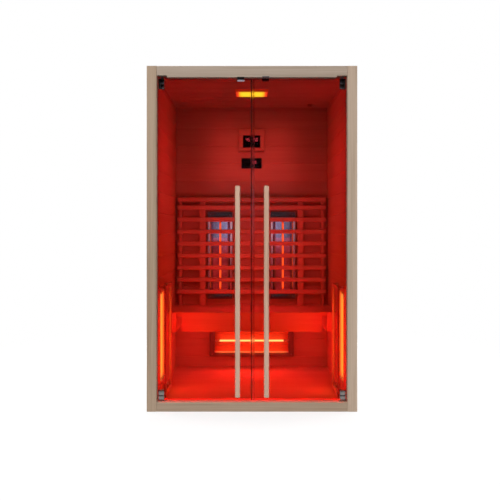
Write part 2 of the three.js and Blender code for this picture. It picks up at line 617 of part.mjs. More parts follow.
// Top patch of a door that reaches along +X: a hub over the pin, and two cheeks that clamp the glass.
function pivotPatch() {
  const width = PATCH_TAIL + PATCH_REACH;
  const middleX = (PATCH_REACH - PATCH_TAIL) / 2;
  const body = board(width, PATCH_THICKNESS, PATCH_HEIGHT, 'z', PATCH_CHAMFER);
  body.translate(middleX, 0, -PATCH_HEIGHT / 2);
  const slotHeight = PATCH_HEIGHT - HUB_HEIGHT + OVERLAP;
  const slot = box(width + 2 * OVERLAP, GLASS_THICKNESS + 2 * FIT, slotHeight,
    middleX, 0, -HUB_HEIGHT - slotHeight / 2);
  const boreLength = PIN_LENGTH + 2 * OVERLAP;
  const bore = bar(PIN_RADIUS + PIN_CLEARANCE, boreLength, 'z').translate(0, 0, OVERLAP - boreLength / 2);
  return cut(body, slot, bore);
}

// Bottom pivot: a base on the frame with the pin standing on it.
function pivotPin(baseHeight) {
  const base = box(PIVOT_BASE_WIDTH, PIVOT_BASE_DEPTH, baseHeight, 0, 0, baseHeight / 2);
  const pin = bar(PIN_RADIUS, PIN_LENGTH + OVERLAP, 'z');
  return joined(base, pin.translate(0, 0, baseHeight + (PIN_LENGTH - OVERLAP) / 2));
}

// Square bar along Z with two round feet that reach back to the glass.
function doorHandle() {
  const grip = board(HANDLE_SIZE, HANDLE_SIZE, HANDLE_LENGTH, 'z', HANDLE_CHAMFER);
  const footLength = HANDLE_REACH - FIT + OVERLAP;
  const footY = HANDLE_SIZE / 2 - OVERLAP + footLength / 2;
  const footZ = HANDLE_LENGTH / 2 - FOOT_INSET;
  const feet = [-footZ, footZ].map((z) => bar(FOOT_RADIUS, footLength, 'y').translate(0, footY, z));
  return joined(grip, ...feet);
}

// Doors: each group stands on its hinge axis, in the middle of the glass
for (const side of [-1, 1]) {
  const name = sideName(side);
  const inward = -side;
  const door = new THREE.Group();
  door.position.set(side * HINGE_X, GLASS_Y, 0);
  addPiece(door, `door_glass_${name}`, doorPane(inward), 'clearGlass', [0, 0, 0]);

  addPiece(door, `door_handle_${name}`, doorHandle(), 'handleWood', [
    inward * (HINGE_X - HANDLE_X),
    -GLASS_THICKNESS / 2 - HANDLE_REACH - HANDLE_SIZE / 2,
    HANDLE_BOTTOM + HANDLE_LENGTH / 2,
  ]);

  const turn = side < 0 ? 0 : Math.PI;
  const topPatch = addPiece(door, `pivot_patch_top_${name}`, pivotPatch(), 'satinSteel',
    [0, 0, OPENING_TOP - PATCH_GAP]);
  topPatch.rotation.z = turn;
  const bottomPatch = addPiece(door, `pivot_patch_bottom_${name}`, pivotPatch(), 'satinSteel',
    [0, 0, SILL_HEIGHT + PATCH_GAP]);
  bottomPatch.rotation.set(Math.PI, 0, turn);
  cabin.add(door);

  const pins = new THREE.Group();
  pins.position.copy(door.position);
  const baseHeight = PATCH_GAP - 2 * FIT;
  addPiece(pins, `pivot_pin_bottom_${name}`, pivotPin(baseHeight), 'satinSteel', [0, 0, SILL_HEIGHT + FIT]);
  const tallPin = pivotPin(baseHeight + PIVOT_RECESS_HEIGHT);
  const topPin = addPiece(pins, `pivot_pin_top_${name}`, tallPin, 'satinSteel',
    [0, 0, OPENING_TOP + PIVOT_RECESS_HEIGHT - FIT]);
  topPin.rotation.x = Math.PI;
  cabin.add(pins);

  const catchBody = box(CATCH_WIDTH, CATCH_DEPTH, CATCH_HEIGHT);
  addPiece(cabin, `door_catch_${name}`, catchBody, 'blackPlastic', [
    side < 0 ? LEFT_CATCH_X : RIGHT_CATCH_X,
    GLASS_Y + GLASS_THICKNESS / 2 + CATCH_GAP + CATCH_DEPTH / 2,
    OPENING_TOP - FIT - CATCH_HEIGHT / 2,
  ]);
}

export default cabin;
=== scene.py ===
# %% [markdown]
# # An infrared sauna cabin, dressed in Blender
#
# The cabin is a wooden box for two people with a pair of glass doors in a wooden front frame. Its solids
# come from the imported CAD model: they are already in place, so this lesson gives them finishes and adds
# what is too small or too fine for CAD, such as reflectors, screws, seals and lit digits.

# %% Load the solids
import math

import bmesh
import bpy
from mathutils import Matrix, Vector


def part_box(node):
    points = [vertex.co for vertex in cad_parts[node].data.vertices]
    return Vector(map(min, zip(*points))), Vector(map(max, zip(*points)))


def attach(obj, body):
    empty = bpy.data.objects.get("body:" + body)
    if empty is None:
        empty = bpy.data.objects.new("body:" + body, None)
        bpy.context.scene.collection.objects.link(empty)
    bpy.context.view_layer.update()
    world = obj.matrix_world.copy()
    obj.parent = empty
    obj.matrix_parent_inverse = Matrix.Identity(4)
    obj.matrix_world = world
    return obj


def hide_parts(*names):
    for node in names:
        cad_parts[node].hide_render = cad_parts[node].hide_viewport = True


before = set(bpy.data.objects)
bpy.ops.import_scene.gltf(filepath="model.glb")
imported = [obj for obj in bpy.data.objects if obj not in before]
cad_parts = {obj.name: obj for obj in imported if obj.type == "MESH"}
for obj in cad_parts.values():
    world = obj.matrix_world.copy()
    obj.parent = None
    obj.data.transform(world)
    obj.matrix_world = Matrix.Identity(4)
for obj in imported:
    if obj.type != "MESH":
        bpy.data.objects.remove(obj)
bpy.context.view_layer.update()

# %% [markdown]
# ## The camera
#
# The picture was taken from straight in front, a little left of the middle, with the verticals parallel.
# That is a level camera. Its horizon is above the middle of the frame, which a small downward shift of the
# lens gives without tilting the camera, so the stiles stay upright.

# %% Camera
CAMERA_PLACE = (-0.0114, -3.78, 1.035)
SENSOR_WIDTH = 36
FOCAL_PIXELS = 576
FRAME_PIXELS = 500
HORIZON_ROW = 230

camera_data = bpy.data.cameras.new("camera")
camera_data.sensor_fit = "HORIZONTAL"
camera_data.sensor_width = SENSOR_WIDTH
camera_data.lens = SENSOR_WIDTH * FOCAL_PIXELS / FRAME_PIXELS
camera_data.shift_y = (HORIZON_ROW - FRAME_PIXELS / 2) / FRAME_PIXELS
camera = bpy.data.objects.new("camera", camera_data)
camera.location = CAMERA_PLACE
camera.rotation_euler = (math.radians(90), 0, 0)
bpy.context.scene.collection.objects.link(camera)
bpy.context.scene.camera = camera
print("lens", round(camera_data.lens, 2), "mm, shift", round(camera_data.shift_y, 3))

# %% [markdown]
# ## Tools for finishes
#
# A finish is a small tree of shader nodes that ends in one Principled shader. Colours are written as the
# hex values a painter would read off a screen, and one function turns them into the linear light that the
# renderer adds up. Another function adds a node, sets it and links it, so that each finish reads as a short
# recipe.

# %% Colour and node tools
def linear(hex_colour):
    """Linear RGBA of an sRGB hex colour."""
    shares = [int(hex_colour[start:start + 2], 16) / 255 for start in (1, 3, 5)]
    return (*[s / 12.92 if s <= 0.04045 else ((s + 0.055) / 1.055) ** 2.4 for s in shares], 1.0)


def add_node(tree, kind, inputs, stops=(), **settings):
    """Adds a node, with its settings, its colour stops, and values or links for its inputs."""
    node = tree.nodes.new(kind)
    for name, value in settings.items():
        setattr(node, name, value)
    # A new ramp already has two stops, so the first two are set and the others are added.
    for index, (position, hex_colour) in enumerate(stops):
        steps = node.color_ramp.elements
        step = steps[index] if index < 2 else steps.new(position)
        step.position = position
        step.color = linear(hex_colour)
    for name, value in inputs.items():
        if isinstance(value, bpy.types.NodeSocket):
            tree.links.new(value, node.inputs[name])
        else:
            node.inputs[name].default_value = value
    return node


print("a middle grey is", round(linear("#808080")[0], 3), "in linear light")

# %% Finish tools
def new_finish(name, **values):
    """A material with one Principled shader. The values are the shader's own sockets, by their names."""
    material = bpy.data.materials.new(name)
    material.use_nodes = True
    tree = material.node_tree
    tree.nodes.clear()
    sockets = {key.replace("_", " "): value for key, value in values.items()}
    shader = add_node(tree, "ShaderNodeBsdfPrincipled", sockets)
    add_node(tree, "ShaderNodeOutputMaterial", {"Surface": shader.outputs[0]})
    return material, tree, shader


def dress(material, *names):
    """Gives CAD nodes a finish."""
    for name in names:
        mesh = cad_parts[name].data
        mesh.materials.clear()
        mesh.materials.append(material)
    print(material.name, "on", len(names), "nodes")


print("solids to dress", len(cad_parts))

# %% [markdown]
# ## Hemlock
#
# The whole cabin is made of hemlock, a pale softwood with straight grain and hardly any knots. Planing
# leaves long fine streaks, with a slow change of tone over a board. Rings of a wave texture would give the
# bold figure of a pine, so two stretched noises make the streaks and the slow figure instead. Real streaks
# are about 2 mm wide, which is less than half a pixel here, so they are drawn 7 mm wide. A third noise of
# 1.5 mm is the feel of the surface: it moves the roughness and gives a slight bump. Where one solid stands
# for several boards, each board gets its own tone and its own stretch of grain.

# %% Hemlock recipe
AXES = {"X": 0, "Y": 1, "Z": 2}
# Each noise has a length along the grain and a width across it, in millimetres, and a level of detail.
GRAIN_NOISES = {"streaks": (420, 7, 4), "figure": (1300, 60, 2), "feel": (90, 1.5, 2)}
FIGURE_SHARE = 0.45
DARKEST_BOARD, LIGHTEST_BOARD = 0.94, 1.03
GRAIN_SHIFT = (3, 3, 3)
SANDING_DEPTH = 0.0004


def hemlock(name, light, middle, dark, grain, boards=None, roughness=0.56):
    """Planed hemlock with its grain along an axis. Boards are (axis, first joint, pitch) in millimetres."""
    material, tree, shader = new_finish(name)
    place = add_node(tree, "ShaderNodeTexCoord", {}).outputs["Object"]
    tone = None
    if boards:
        across, first, pitch = boards
        parts = add_node(tree, "ShaderNodeSeparateXYZ", {0: place})
        count = add_node(tree, "ShaderNodeMath", {
            0: parts.outputs[across], 1: 1000 / pitch, 2: -first / pitch}, operation="MULTIPLY_ADD")
        number = add_node(tree, "ShaderNodeMath", {0: count.outputs[0]}, operation="FLOOR")
        chance = add_node(tree, "ShaderNodeTexWhiteNoise", {"W": number.outputs[0]}, noise_dimensions="1D")
        place = add_node(tree, "ShaderNodeVectorMath", {
            0: chance.outputs["Color"], 1: GRAIN_SHIFT, 2: place}, operation="MULTIPLY_ADD").outputs[0]
        tone = add_node(tree, "ShaderNodeMapRange", {
            "Value": chance.outputs["Value"], "To Min": DARKEST_BOARD, "To Max": LIGHTEST_BOARD})
    noises = {}
    for part, (along_mm, across_mm, detail) in GRAIN_NOISES.items():
        scale = [1000 / across_mm] * 3
        scale[AXES[grain]] = 1000 / along_mm
        spread = add_node(tree, "ShaderNodeMapping", {"Vector": place, "Scale": scale})
        noises[part] = add_node(tree, "ShaderNodeTexNoise", {
            "Vector": spread.outputs[0], "Scale": 1.0, "Detail": detail, "Roughness": 0.6, "Distortion": 0.4,
        }).outputs[0]
    mixed = add_node(tree, "ShaderNodeMix", {0: FIGURE_SHARE, 2: noises["streaks"], 3: noises["figure"]},
                     data_type="FLOAT")
    colour = add_node(tree, "ShaderNodeValToRGB", {0: mixed.outputs[0]},
                      stops=[(0.34, dark), (0.66, light), (0.5, middle)]).outputs[0]
    if tone:
        colour = add_node(tree, "ShaderNodeMix", {0: 1.0, 6: colour, 7: tone.outputs[0]},
                          data_type="RGBA", blend_type="MULTIPLY").outputs[2]
    rough = add_node(tree, "ShaderNodeMapRange", {
        "Value": noises["feel"], "To Min": roughness - 0.08, "To Max": roughness + 0.1})
    bump = add_node(tree, "ShaderNodeBump", {
        "Height": noises["feel"], "Strength": 0.25, "Distance": SANDING_DEPTH})
    tree.links.new(colour, shader.inputs["Base Color"])
    tree.links.new(rough.outputs[0], shader.inputs["Roughness"])
    tree.links.new(bump.outputs[0], shader.inputs["Normal"])
    return material


print("hemlock noises", ", ".join(GRAIN_NOISES))

# %% [markdown]
# ## The front frame
#
# The front frame is the only wood in plain daylight, so its tones are the ones the picture shows: a greyish
# beige. Every member is a board of its own, and boards differ. One finish for all four would look like
# printed board, so each has its own. Their tones also carry painted light: the right stile is painted
# palest, for the light that falls from the right, and the sill darkest and brownest, for the light that
# falls from above. Grain follows each member, upright in the stiles and level in the header and sill.

# %% Front frame finish
# The tones of each board carry painted light: palest on the right stile, darkest and brownest on the sill.
FRAME_TONES_WITH_PAINTED_LIGHT = {
    "front_stile_left": ("#BAA38D", "#AF9882", "#9E8771", "Z"),
    "front_stile_right": ("#C6B09C", "#BCA692", "#AB9581", "Z"),
    "front_header": ("#BBAA9A", "#B19F8F", "#A08E7E", "X"),
    "front_sill": ("#B29C87", "#A7917C", "#96806B", "X"),
}
for name, board in FRAME_TONES_WITH_PAINTED_LIGHT.items():
    dress(hemlock(f"hemlock_{name}_planed_oiled", *board), name)

# %% [markdown]
# ## Lining, floor and shell
#
# Inside, planks run round the room with V-grooves between them. They are left untreated, because oil would
# smell in the heat, so they are a little paler and warmer than the frame. The outer skin has the same
# planks. The solids already have the grooves, so the finish only changes its tone at each of them: the
# joints and pitches below are those of the grooves.

# %% Lining and shell finishes
LINING_TONES = ("#CFB59A", "#CAAF93", "#C1A68A")
SHELL_TONES = ("#C6AF97", "#BAA288", "#A78E73")
PLANK_PITCH = 128.5
WALL_PLANKS = ("Z", 108.3, PLANK_PITCH)
CEILING_PLANKS = ("Y", 379.7, PLANK_PITCH)
FLOOR_BOARDS = ("Y", 0, 120)
ROOF_BOARDS = ("Y", 0, 240)
PLANKED = {
    "back_lining": (LINING_TONES, "X", WALL_PLANKS, ["back_lining"]),
    "side_lining": (LINING_TONES, "Y", WALL_PLANKS, ["side_lining_left", "side_lining_right"]),
    "ceiling": (LINING_TONES, "X", CEILING_PLANKS, ["ceiling_lining"]),
    "floor": (LINING_TONES, "X", FLOOR_BOARDS, ["floor_panel"]),
    "back_shell": (SHELL_TONES, "X", WALL_PLANKS, ["back_wall"]),
    "side_shell": (SHELL_TONES, "Y", WALL_PLANKS, ["side_wall_left", "side_wall_right"]),
    "roof_board": (SHELL_TONES, "X", ROOF_BOARDS, ["roof_panel"]),
}
for name, (tones, grain, boards, nodes) in PLANKED.items():
    dress(hemlock(f"hemlock_{name}_planed", *tones, grain, boards), *nodes)

# %% [markdown]
# ## Bench and backrest
#
# What people touch is sanded smoother than the walls. The seat has four boards from wall to wall, the slats
# and the fascia are single boards, and the bearers run back along the side walls. It is the same hemlock,
# so it takes the same recipe with a lower roughness.

# %% Bench finishes
BENCH_TONES = ("#D3B99E", "#CEB397", "#C5AA8E")
SANDED = 0.5
SEAT_BOARDS = ("Y", 70.3, 96.1)
slats = [f"backrest_slat_{number}" for number in range(1, 9)]
bench_level = hemlock("hemlock_bench_sanded", *BENCH_TONES, "X", roughness=SANDED)
bench_upright = hemlock("hemlock_batten_sanded", *BENCH_TONES, "Z", roughness=SANDED)
dress(hemlock("hemlock_seat_boards_sanded", *BENCH_TONES, "X", SEAT_BOARDS, SANDED), "bench_seat")
dress(bench_level, "bench_fascia", *slats)
dress(hemlock("hemlock_bearer_planed", *BENCH_TONES, "Y"), "bench_bearer_left", "bench_bearer_right")

# %% [markdown]
# ## Metals, plastics and ceramic
#
# The fittings are brushed steel: long fine scratches that blur a reflection. A noise that is stretched
# along the brushing moves the roughness. Painted and powder-coated parts have a faint orange peel, and
# moulded plastic a fine spark-eroded grain. All of them differ only in the size of that texture, its depth
# and the colour, so one recipe makes them all. Real scratches and grain are a tenth of a millimetre, so
# both are drawn coarser here.

# %% Recipe for worked surfaces
def worked(name, size_mm, roughness, depth_mm, **values):
    """A finish whose roughness and bump come from one noise with features of the given size."""
    material, tree, shader = new_finish(name, **values)
    place = add_node(tree, "ShaderNodeTexCoord", {}).outputs["Object"]
    scale = [1000 / size for size in size_mm]
    spread = add_node(tree, "ShaderNodeMapping", {"Vector": place, "Scale": scale})
    noise = add_node(tree, "ShaderNodeTexNoise", {"Vector": spread.outputs[0], "Scale": 1.0, "Detail": 3.0})
    rough = add_node(tree, "ShaderNodeMapRange", {
        "Value": noise.outputs[0], "From Min": 0.3, "From Max": 0.7,
        "To Min": roughness[0], "To Max": roughness[1]})
    bump = add_node(tree, "ShaderNodeBump", {
        "Height": noise.outputs[0], "Strength": 0.3, "Distance": depth_mm / 1000})
    tree.links.new(rough.outputs[0], shader.inputs["Roughness"])
    tree.links.new(bump.outputs[0], shader.inputs["Normal"])
    return material


def powder_coat(colour_name, hex_colour):
    """Baked powder on sheet steel: an even colour, with a faint orange peel that breaks up highlights."""
    return worked(f"steel_powder_coat_{colour_name}", (2, 2, 2), (0.42, 0.58), 0.04,
                  Base_Color=linear(hex_colour))


def moulded(colour_name, hex_colour):
    """Moulded ABS: a flat colour with a fine grain that keeps its shine dull."""
    return worked(f"abs_{colour_name}_moulded", (1.2, 1.2, 1.2), (0.4, 0.55), 0.03,
                  Base_Color=linear(hex_colour))


def hammered(colour_name, hex_colour):
    """Anodised aluminium sheet with dimples of 5 mm, which scatter the glow of a tube into a soft sheen. Its
    colour is a painted glow of the tube.
    """
    return worked(f"aluminium_reflector_hammered_{colour_name}_anodised", (5, 5, 5), (0.38, 0.55), 0.3,
                  Base_Color=linear(hex_colour), Metallic=0.4)


print("recipes for worked, coated, moulded and hammered surfaces")

# %% Metal finishes
# Nickel plate is a soft mirror with upright hairlines, and shows dark where the studio is dark.
satin_nickel = worked("steel_nickel_plated_satin", (0.6, 0.6, 14), (0.18, 0.3), 0.02,
                      Base_Color=linear("#847D7B"), Metallic=1.0)
# Stainless steel is paler, and its brushing runs level.
satin_steel = worked("stainless_steel_satin_brushed", (14, 0.6, 0.6), (0.24, 0.4), 0.02,
                     Base_Color=linear("#B4B2B0"), Metallic=1.0)
# Lacquer over polished aluminium: a bright line with a soft edge.
bright_lip = worked("aluminium_lip_polished_lacquered", (30, 30, 90), (0.14, 0.24), 0.03,
                    Base_Color=linear("#EEEAE8"), Metallic=0.6)
# Anodised aluminium with a straw tint, which takes on the colour of the glow.
pale_lip = worked("aluminium_lip_anodised_satin", (8, 8, 8), (0.3, 0.45), 0.02,
                  Base_Color=linear("#F0DDB8"), Metallic=0.3)
# Oil-blackened steel: a dark grey that still shows a blurred reflection.
dark_steel = worked("steel_blackened_satin", (2, 2, 2), (0.3, 0.42), 0.02,
                    Base_Color=linear("#7E7476"), Metallic=1.0)
# Clear lacquer turns zinc plate into a pale, slightly blue satin.
lacquered_zinc = worked("zinc_plate_lacquered", (3, 3, 3), (0.3, 0.45), 0.02,
                        Base_Color=linear("#C4BCC8"), Metallic=0.35)
# Gold and copper here are painted glow, for the orange light of the tube on the sheet.
gold_painted_glow_reflector = hammered("gold", "#E8B088")
copper_painted_glow_reflector = hammered("copper", "#E8795A")
brown_coat = powder_coat("brown", "#7A6A60")
beige_coat = powder_coat("beige", "#B8A898")
pale_coat = powder_coat("pale_grey", "#C9C9C6")
dress(dark_steel, "back_heater_left_housing", "back_heater_right_housing")
dress(brown_coat, "bench_heater_housing")
dress(beige_coat, "side_heater_left_housing", "side_heater_right_housing")
dress(satin_steel, *[f"pivot_pin_{end}_{side}" for end in ("top", "bottom") for side in ("left", "right")])

# %% Plastic and ceramic finishes
brown_plastic = moulded("brown", "#5A4034")
beige_plastic = moulded("beige", "#B08E6E")
grey_plastic = moulded("grey", "#565252")
# Black ABS has a finer polish, with its highlights kept low so that it stays black beside lit digits.
black_plastic = worked("abs_black_moulded", (1.2, 1.2, 1.2), (0.36, 0.5), 0.03,
                       Base_Color=linear("#121112"), Specular_IOR_Level=0.25)
# The window of a display is smooth and almost without a reflection.
black_glass = worked("display_window_black_glossy", (40, 40, 40), (0.16, 0.24), 0.005,
                     Base_Color=linear("#0A0708"), Specular_IOR_Level=0.08)
# Extruded rubber is dull, with faint lines along its length.
dark_rubber = worked("epdm_rubber_extruded", (1, 1, 20), (0.55, 0.75), 0.02,
                     Base_Color=linear("#1A0E0D"), Specular_IOR_Level=0.2)
# Fired steatite is a chalky tan with a slight glaze.
ceramic = worked("steatite_ceramic_fired_tan", (3, 3, 3), (0.3, 0.5), 0.03, Base_Color=linear("#B8957C"))
# Amber polycarbonate lets some of the lamp's light through, so it glows a dull red.
amber_rim = worked("polycarbonate_amber_moulded_lit", (1.2, 1.2, 1.2), (0.35, 0.5), 0.03,
                   Base_Color=linear("#C07850"), Emission_Color=linear("#9A1C08"), Emission_Strength=0.8)
dress(black_plastic, "power_module")
dress(amber_rim, "ceiling_lamp_housing")

# %% [markdown]
# ## Door glass
#
# The doors are clear toughened glass, 8 mm thick. It is a real pane with two faces, so a transmission of 1
# and the IOR of glass are all it needs: a transparent shader would be quicker, but would lose the bend at
# the edges. The float process leaves it almost perfectly smooth, with a slow waviness that only shows as a
# faint bend in reflections. A dark specular tint keeps the white studio from veiling the room behind the
# pane.

# %% Glass finish
PANE_GLARE = (0.05, 0.05, 0.05, 1.0)
# One wave of the float process takes about 330 mm.
WAVES_PER_METRE = 3
glass, tree, shader = new_finish("soda_lime_glass_toughened_clear", Base_Color=linear("#F6FAF8"),
                                 Roughness=0.0, Transmission_Weight=1.0, IOR=1.5, Specular_Tint=PANE_GLARE)
place = add_node(tree, "ShaderNodeTexCoord", {}).outputs["Object"]
waves = add_node(tree, "ShaderNodeTexNoise", {"Vector": place, "Scale": WAVES_PER_METRE, "Detail": 0.0})
bump = add_node(tree, "ShaderNodeBump", {"Height": waves.outputs[0], "Strength": 0.05, "Distance": 0.0005})
tree.links.new(bump.outputs[0], shader.inputs["Normal"])
dress(glass, "door_glass_left", "door_glass_right")

# %% [markdown]
# ## Tools for new pieces
#
# Most small parts are blocks with rounded edges, shapes turned on a lathe, or sections that were drawn out
# to a length. A bevel over all the edges of a cube makes the first, a spin the second and an extrusion the
# third. A piece can be made of several such shapes with different finishes. Its place is in its mesh, as
# with the solids, so it is written in millimetres and measured from the boxes of the solids.

# %% Blocks
def at(x, y, z):
    """A point in millimetres, in Blender's metres."""
    return Vector((x, y, z)) / 1000


def corners(node):
    """Lowest and highest corner of a solid, in millimetres."""
    low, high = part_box(node)
    return low * 1000, high * 1000


def block(bm, low, high, soft=0.0, steps=2, finish=0):
    """Block between two corners, in millimetres, with its edges rounded."""
    low, high = at(*low), at(*high)
    place = Matrix.Translation((low + high) / 2) @ Matrix.Diagonal((*(high - low), 1))
    verts = bmesh.ops.create_cube(bm, size=1, matrix=place)["verts"]
    for vert in verts:
        for face in vert.link_faces:
            face.material_index = finish
    if soft:
        edges = list(dict.fromkeys(edge for vert in verts for edge in vert.link_edges))
        bmesh.ops.bevel(bm, geom=edges, offset=soft / 1000, offset_type="OFFSET", segments=steps,
                        profile=0.5, affect="EDGES", clamp_overlap=True, material=-1)


pane_low, pane_high = corners("door_glass_left")
glass_front, glass_back = pane_low.y, pane_high.y
print("the glass lies between", round(glass_front, 1), "and", round(glass_back, 1), "mm")

# %% Lathe shapes
LATHE_STEPS = 32


def turned(bm, profile, middle, axis, finish=0, steps=LATHE_STEPS):
    """Lathe shape: a profile of (radius, height) in millimetres, on an axis that starts at the middle."""
    lathe = bmesh.new()
    verts = [lathe.verts.new(at(radius, 0, height)) for radius, height in profile]
    edges = [lathe.edges.new(pair) for pair in zip(verts, verts[1:])]
    bmesh.ops.spin(lathe, geom=verts + edges, cent=(0, 0, 0), axis=(0, 0, 1), angle=math.tau, steps=steps,
                   use_merge=True)
    bmesh.ops.remove_doubles(lathe, verts=lathe.verts, dist=1e-6)
    bmesh.ops.recalc_face_normals(lathe, faces=lathe.faces)
    turn = Vector(axis).to_track_quat("Z", "Y").to_matrix().to_4x4()
    lathe.transform(Matrix.Translation(at(*middle)) @ turn)
    for face in lathe.faces:
        face.material_index = finish
    part = bpy.data.meshes.new("part")
    lathe.to_mesh(part)
    lathe.free()
    bm.from_mesh(part)
    bpy.data.meshes.remove(part)


print("flats of a lathe shape lie at", round(math.cos(math.pi / LATHE_STEPS), 3), "of its radius")

# %% Pieces
SIDES = {"left": -1, "right": 1}
FIT = 0.3
SHARP_ANGLE = 32


def piece(name, bm, body, finishes, replaced=()):
    """Turns a bmesh into a piece of the object that rides on a body."""
    for face in bm.faces:
        face.smooth = True
    mesh = bpy.data.meshes.new(name)
    bm.to_mesh(mesh)
    bm.free()
    mesh.set_sharp_from_angle(angle=math.radians(SHARP_ANGLE))
    for finish in finishes:
        mesh.materials.append(finish)
    made = bpy.data.objects.new(name, mesh)
    bpy.context.scene.collection.objects.link(made)
    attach(made, body)
    if replaced:
        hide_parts(*replaced)
    print(name, len(mesh.polygons), "faces")


print("edges over", SHARP_ANGLE, "degrees stay sharp")

# %% [markdown]
# ## Door handles
#
# Each handle is a long square bar of wood, sanded round at its edges, on two steel stand-offs. A bolt comes
# through the glass into each stand-off, and ends inside the cabin in a domed cap with a washer. The bar is
# a block with a generous bevel, which is quicker than a profile drawn along a path. The stand-offs and caps
# are turned, as the real ones are.

# %% Handles
HANDLE_TONES = ("#D6B19A", "#CDA790", "#BA927A")
BAR_DEPTH = 28
BAR_ROUND = 5
FOOT_INSET = 150
NUT_GAP = 0.1
STAND_OFF = [(0, 0), (10, 0), (11, 1), (11, 4), (8, 6), (8, 21), (12, 23.5), (12.5, 25), (12.5, 27),
             (0, 27.6)]
CAP_NUT = [(0, 0), (12.5, 0), (12.5, 1.5), (10, 2), (9.5, 4.5), (7, 6.5), (3.5, 7.6), (0, 8)]
handle_wood = hemlock("hemlock_handle_sanded_round", *HANDLE_TONES, "Z", roughness=0.48)

for side in SIDES:
    low, high = corners(f"door_handle_{side}")
    middle_x = (low.x + high.x) / 2
    bar_back = low.y + BAR_DEPTH
    bm = bmesh.new()
    block(bm, low, (high.x, bar_back, high.z), soft=BAR_ROUND, steps=4)
    for foot_z in (low.z + FOOT_INSET, high.z - FOOT_INSET):
        turned(bm, STAND_OFF, (middle_x, bar_back, foot_z), (0, 1, 0), finish=1)
        turned(bm, CAP_NUT, (middle_x, glass_back + NUT_GAP, foot_z), (0, 1, 0), finish=1)
    finishes = [handle_wood, satin_steel]
    piece(f"handle_{side}", bm, f"{side}_door", finishes, [f"door_handle_{side}"])

# %% [markdown]
# ## Pivot patches
#
# A patch is a pair of metal cheeks that clamp the corner of the glass, joined by a hub that turns on a pin
# in the frame. The seam between the hub and the cheeks shows as a bright line, because both edges are
# bevelled: a line drawn in the finish would not catch the light. Two socket screws pull the cheeks
# together, on the outside and on the inside.

# %% Patches
SCREW = [(0, -1), (4.2, -1), (4.2, 0.4), (3.7, 0.8), (2.3, 0.8), (2.1, -0.4), (0, -0.4)]
SCREW_STEPS = 20
HUB_HEIGHT = 29.5
CHEEK_START = 30.5
CHEEK_SETBACK = 1
PATCH_BEVEL = 1.6
GASKET = 0.2
PATCH_SCREW_INSET = 9

for side in SIDES:
    for end in ("top", "bottom"):
        name = f"pivot_patch_{end}_{side}"
        low, high = corners(name)
        hub_z, cheek_z = (low.z, low.z + HUB_HEIGHT), (low.z + CHEEK_START, high.z)
        if end == "top":
            hub_z, cheek_z = (high.z - HUB_HEIGHT, high.z), (low.z, high.z - CHEEK_START)
        cheeks = ((low.y + CHEEK_SETBACK, glass_front - GASKET, -1),
                  (high.y - CHEEK_SETBACK, glass_back + GASKET, 1))
        bm = bmesh.new()
        block(bm, (low.x, low.y, hub_z[0]), (high.x, high.y, hub_z[1]), soft=PATCH_BEVEL, steps=3)
        for outer, inner, outward in cheeks:
            near, far = sorted((outer, inner))
            block(bm, (low.x, near, cheek_z[0]), (high.x, far, cheek_z[1]), soft=PATCH_BEVEL, steps=3)
            for screw_x in (low.x + PATCH_SCREW_INSET, high.x - PATCH_SCREW_INSET):
                turned(bm, SCREW, (screw_x, outer, sum(cheek_z) / 2), (0, outward, 0), steps=SCREW_STEPS)
        piece(f"patch_{end}_{side}", bm, f"{side}_door", [satin_nickel], [name])

# %% [markdown]
# ## Seals where the doors meet
#
# A clear plastic channel is pushed over the meeting edge of each pane, and the left one carries a soft dark
# fin that covers the gap. From the front that gives two pale lines with a dark line between them. The
# channel is a U-shaped section, drawn out over the height of the glass as the real one is extruded, and the
# right one has the longer legs. Its clear PVC has a faint haze in long streaks.

# %% Clear PVC
# Streaks of haze are 1 mm wide and about 80 mm long.
STREAKS_PER_METRE = (1000, 1000, 12)
clear_pvc, tree, shader = new_finish("pvc_seal_clear_extruded", Base_Color=linear("#F2E9E8"), Roughness=0.1,
                                     Transmission_Weight=1.0, IOR=1.53, Specular_Tint=(0.2, 0.2, 0.2, 1.0))
place = add_node(tree, "ShaderNodeTexCoord", {}).outputs["Object"]
spread = add_node(tree, "ShaderNodeMapping", {"Vector": place, "Scale": STREAKS_PER_METRE})
haze = add_node(tree, "ShaderNodeTexNoise", {"Vector": spread.outputs[0], "Scale": 1.0})
rough = add_node(tree, "ShaderNodeMapRange", {"Value": haze.outputs[0], "To Min": 0.04, "To Max": 0.16})
tree.links.new(rough.outputs[0], shader.inputs["Roughness"])
print("clear PVC with", len(tree.nodes), "nodes")

# %% Seals
SEAL_SHORT = 3
SEAL_EDGE, SEAL_INNER = 1, 1.8
SEAL_WALL = 0.8
LEGS = {"left": 9, "right": 15}
FIN_WIDTH, FIN_EDGE = 4.2, 0.2
FIN_FRONT, FIN_BACK = 0.8, 0.1


def lift(bm, made, rise):
    """Moves the vertices that an extrusion made straight up, by a rise in millimetres."""
    verts = [item for item in made["geom"] if isinstance(item, bmesh.types.BMVert)]
    bmesh.ops.translate(bm, vec=at(0, 0, rise), verts=verts)


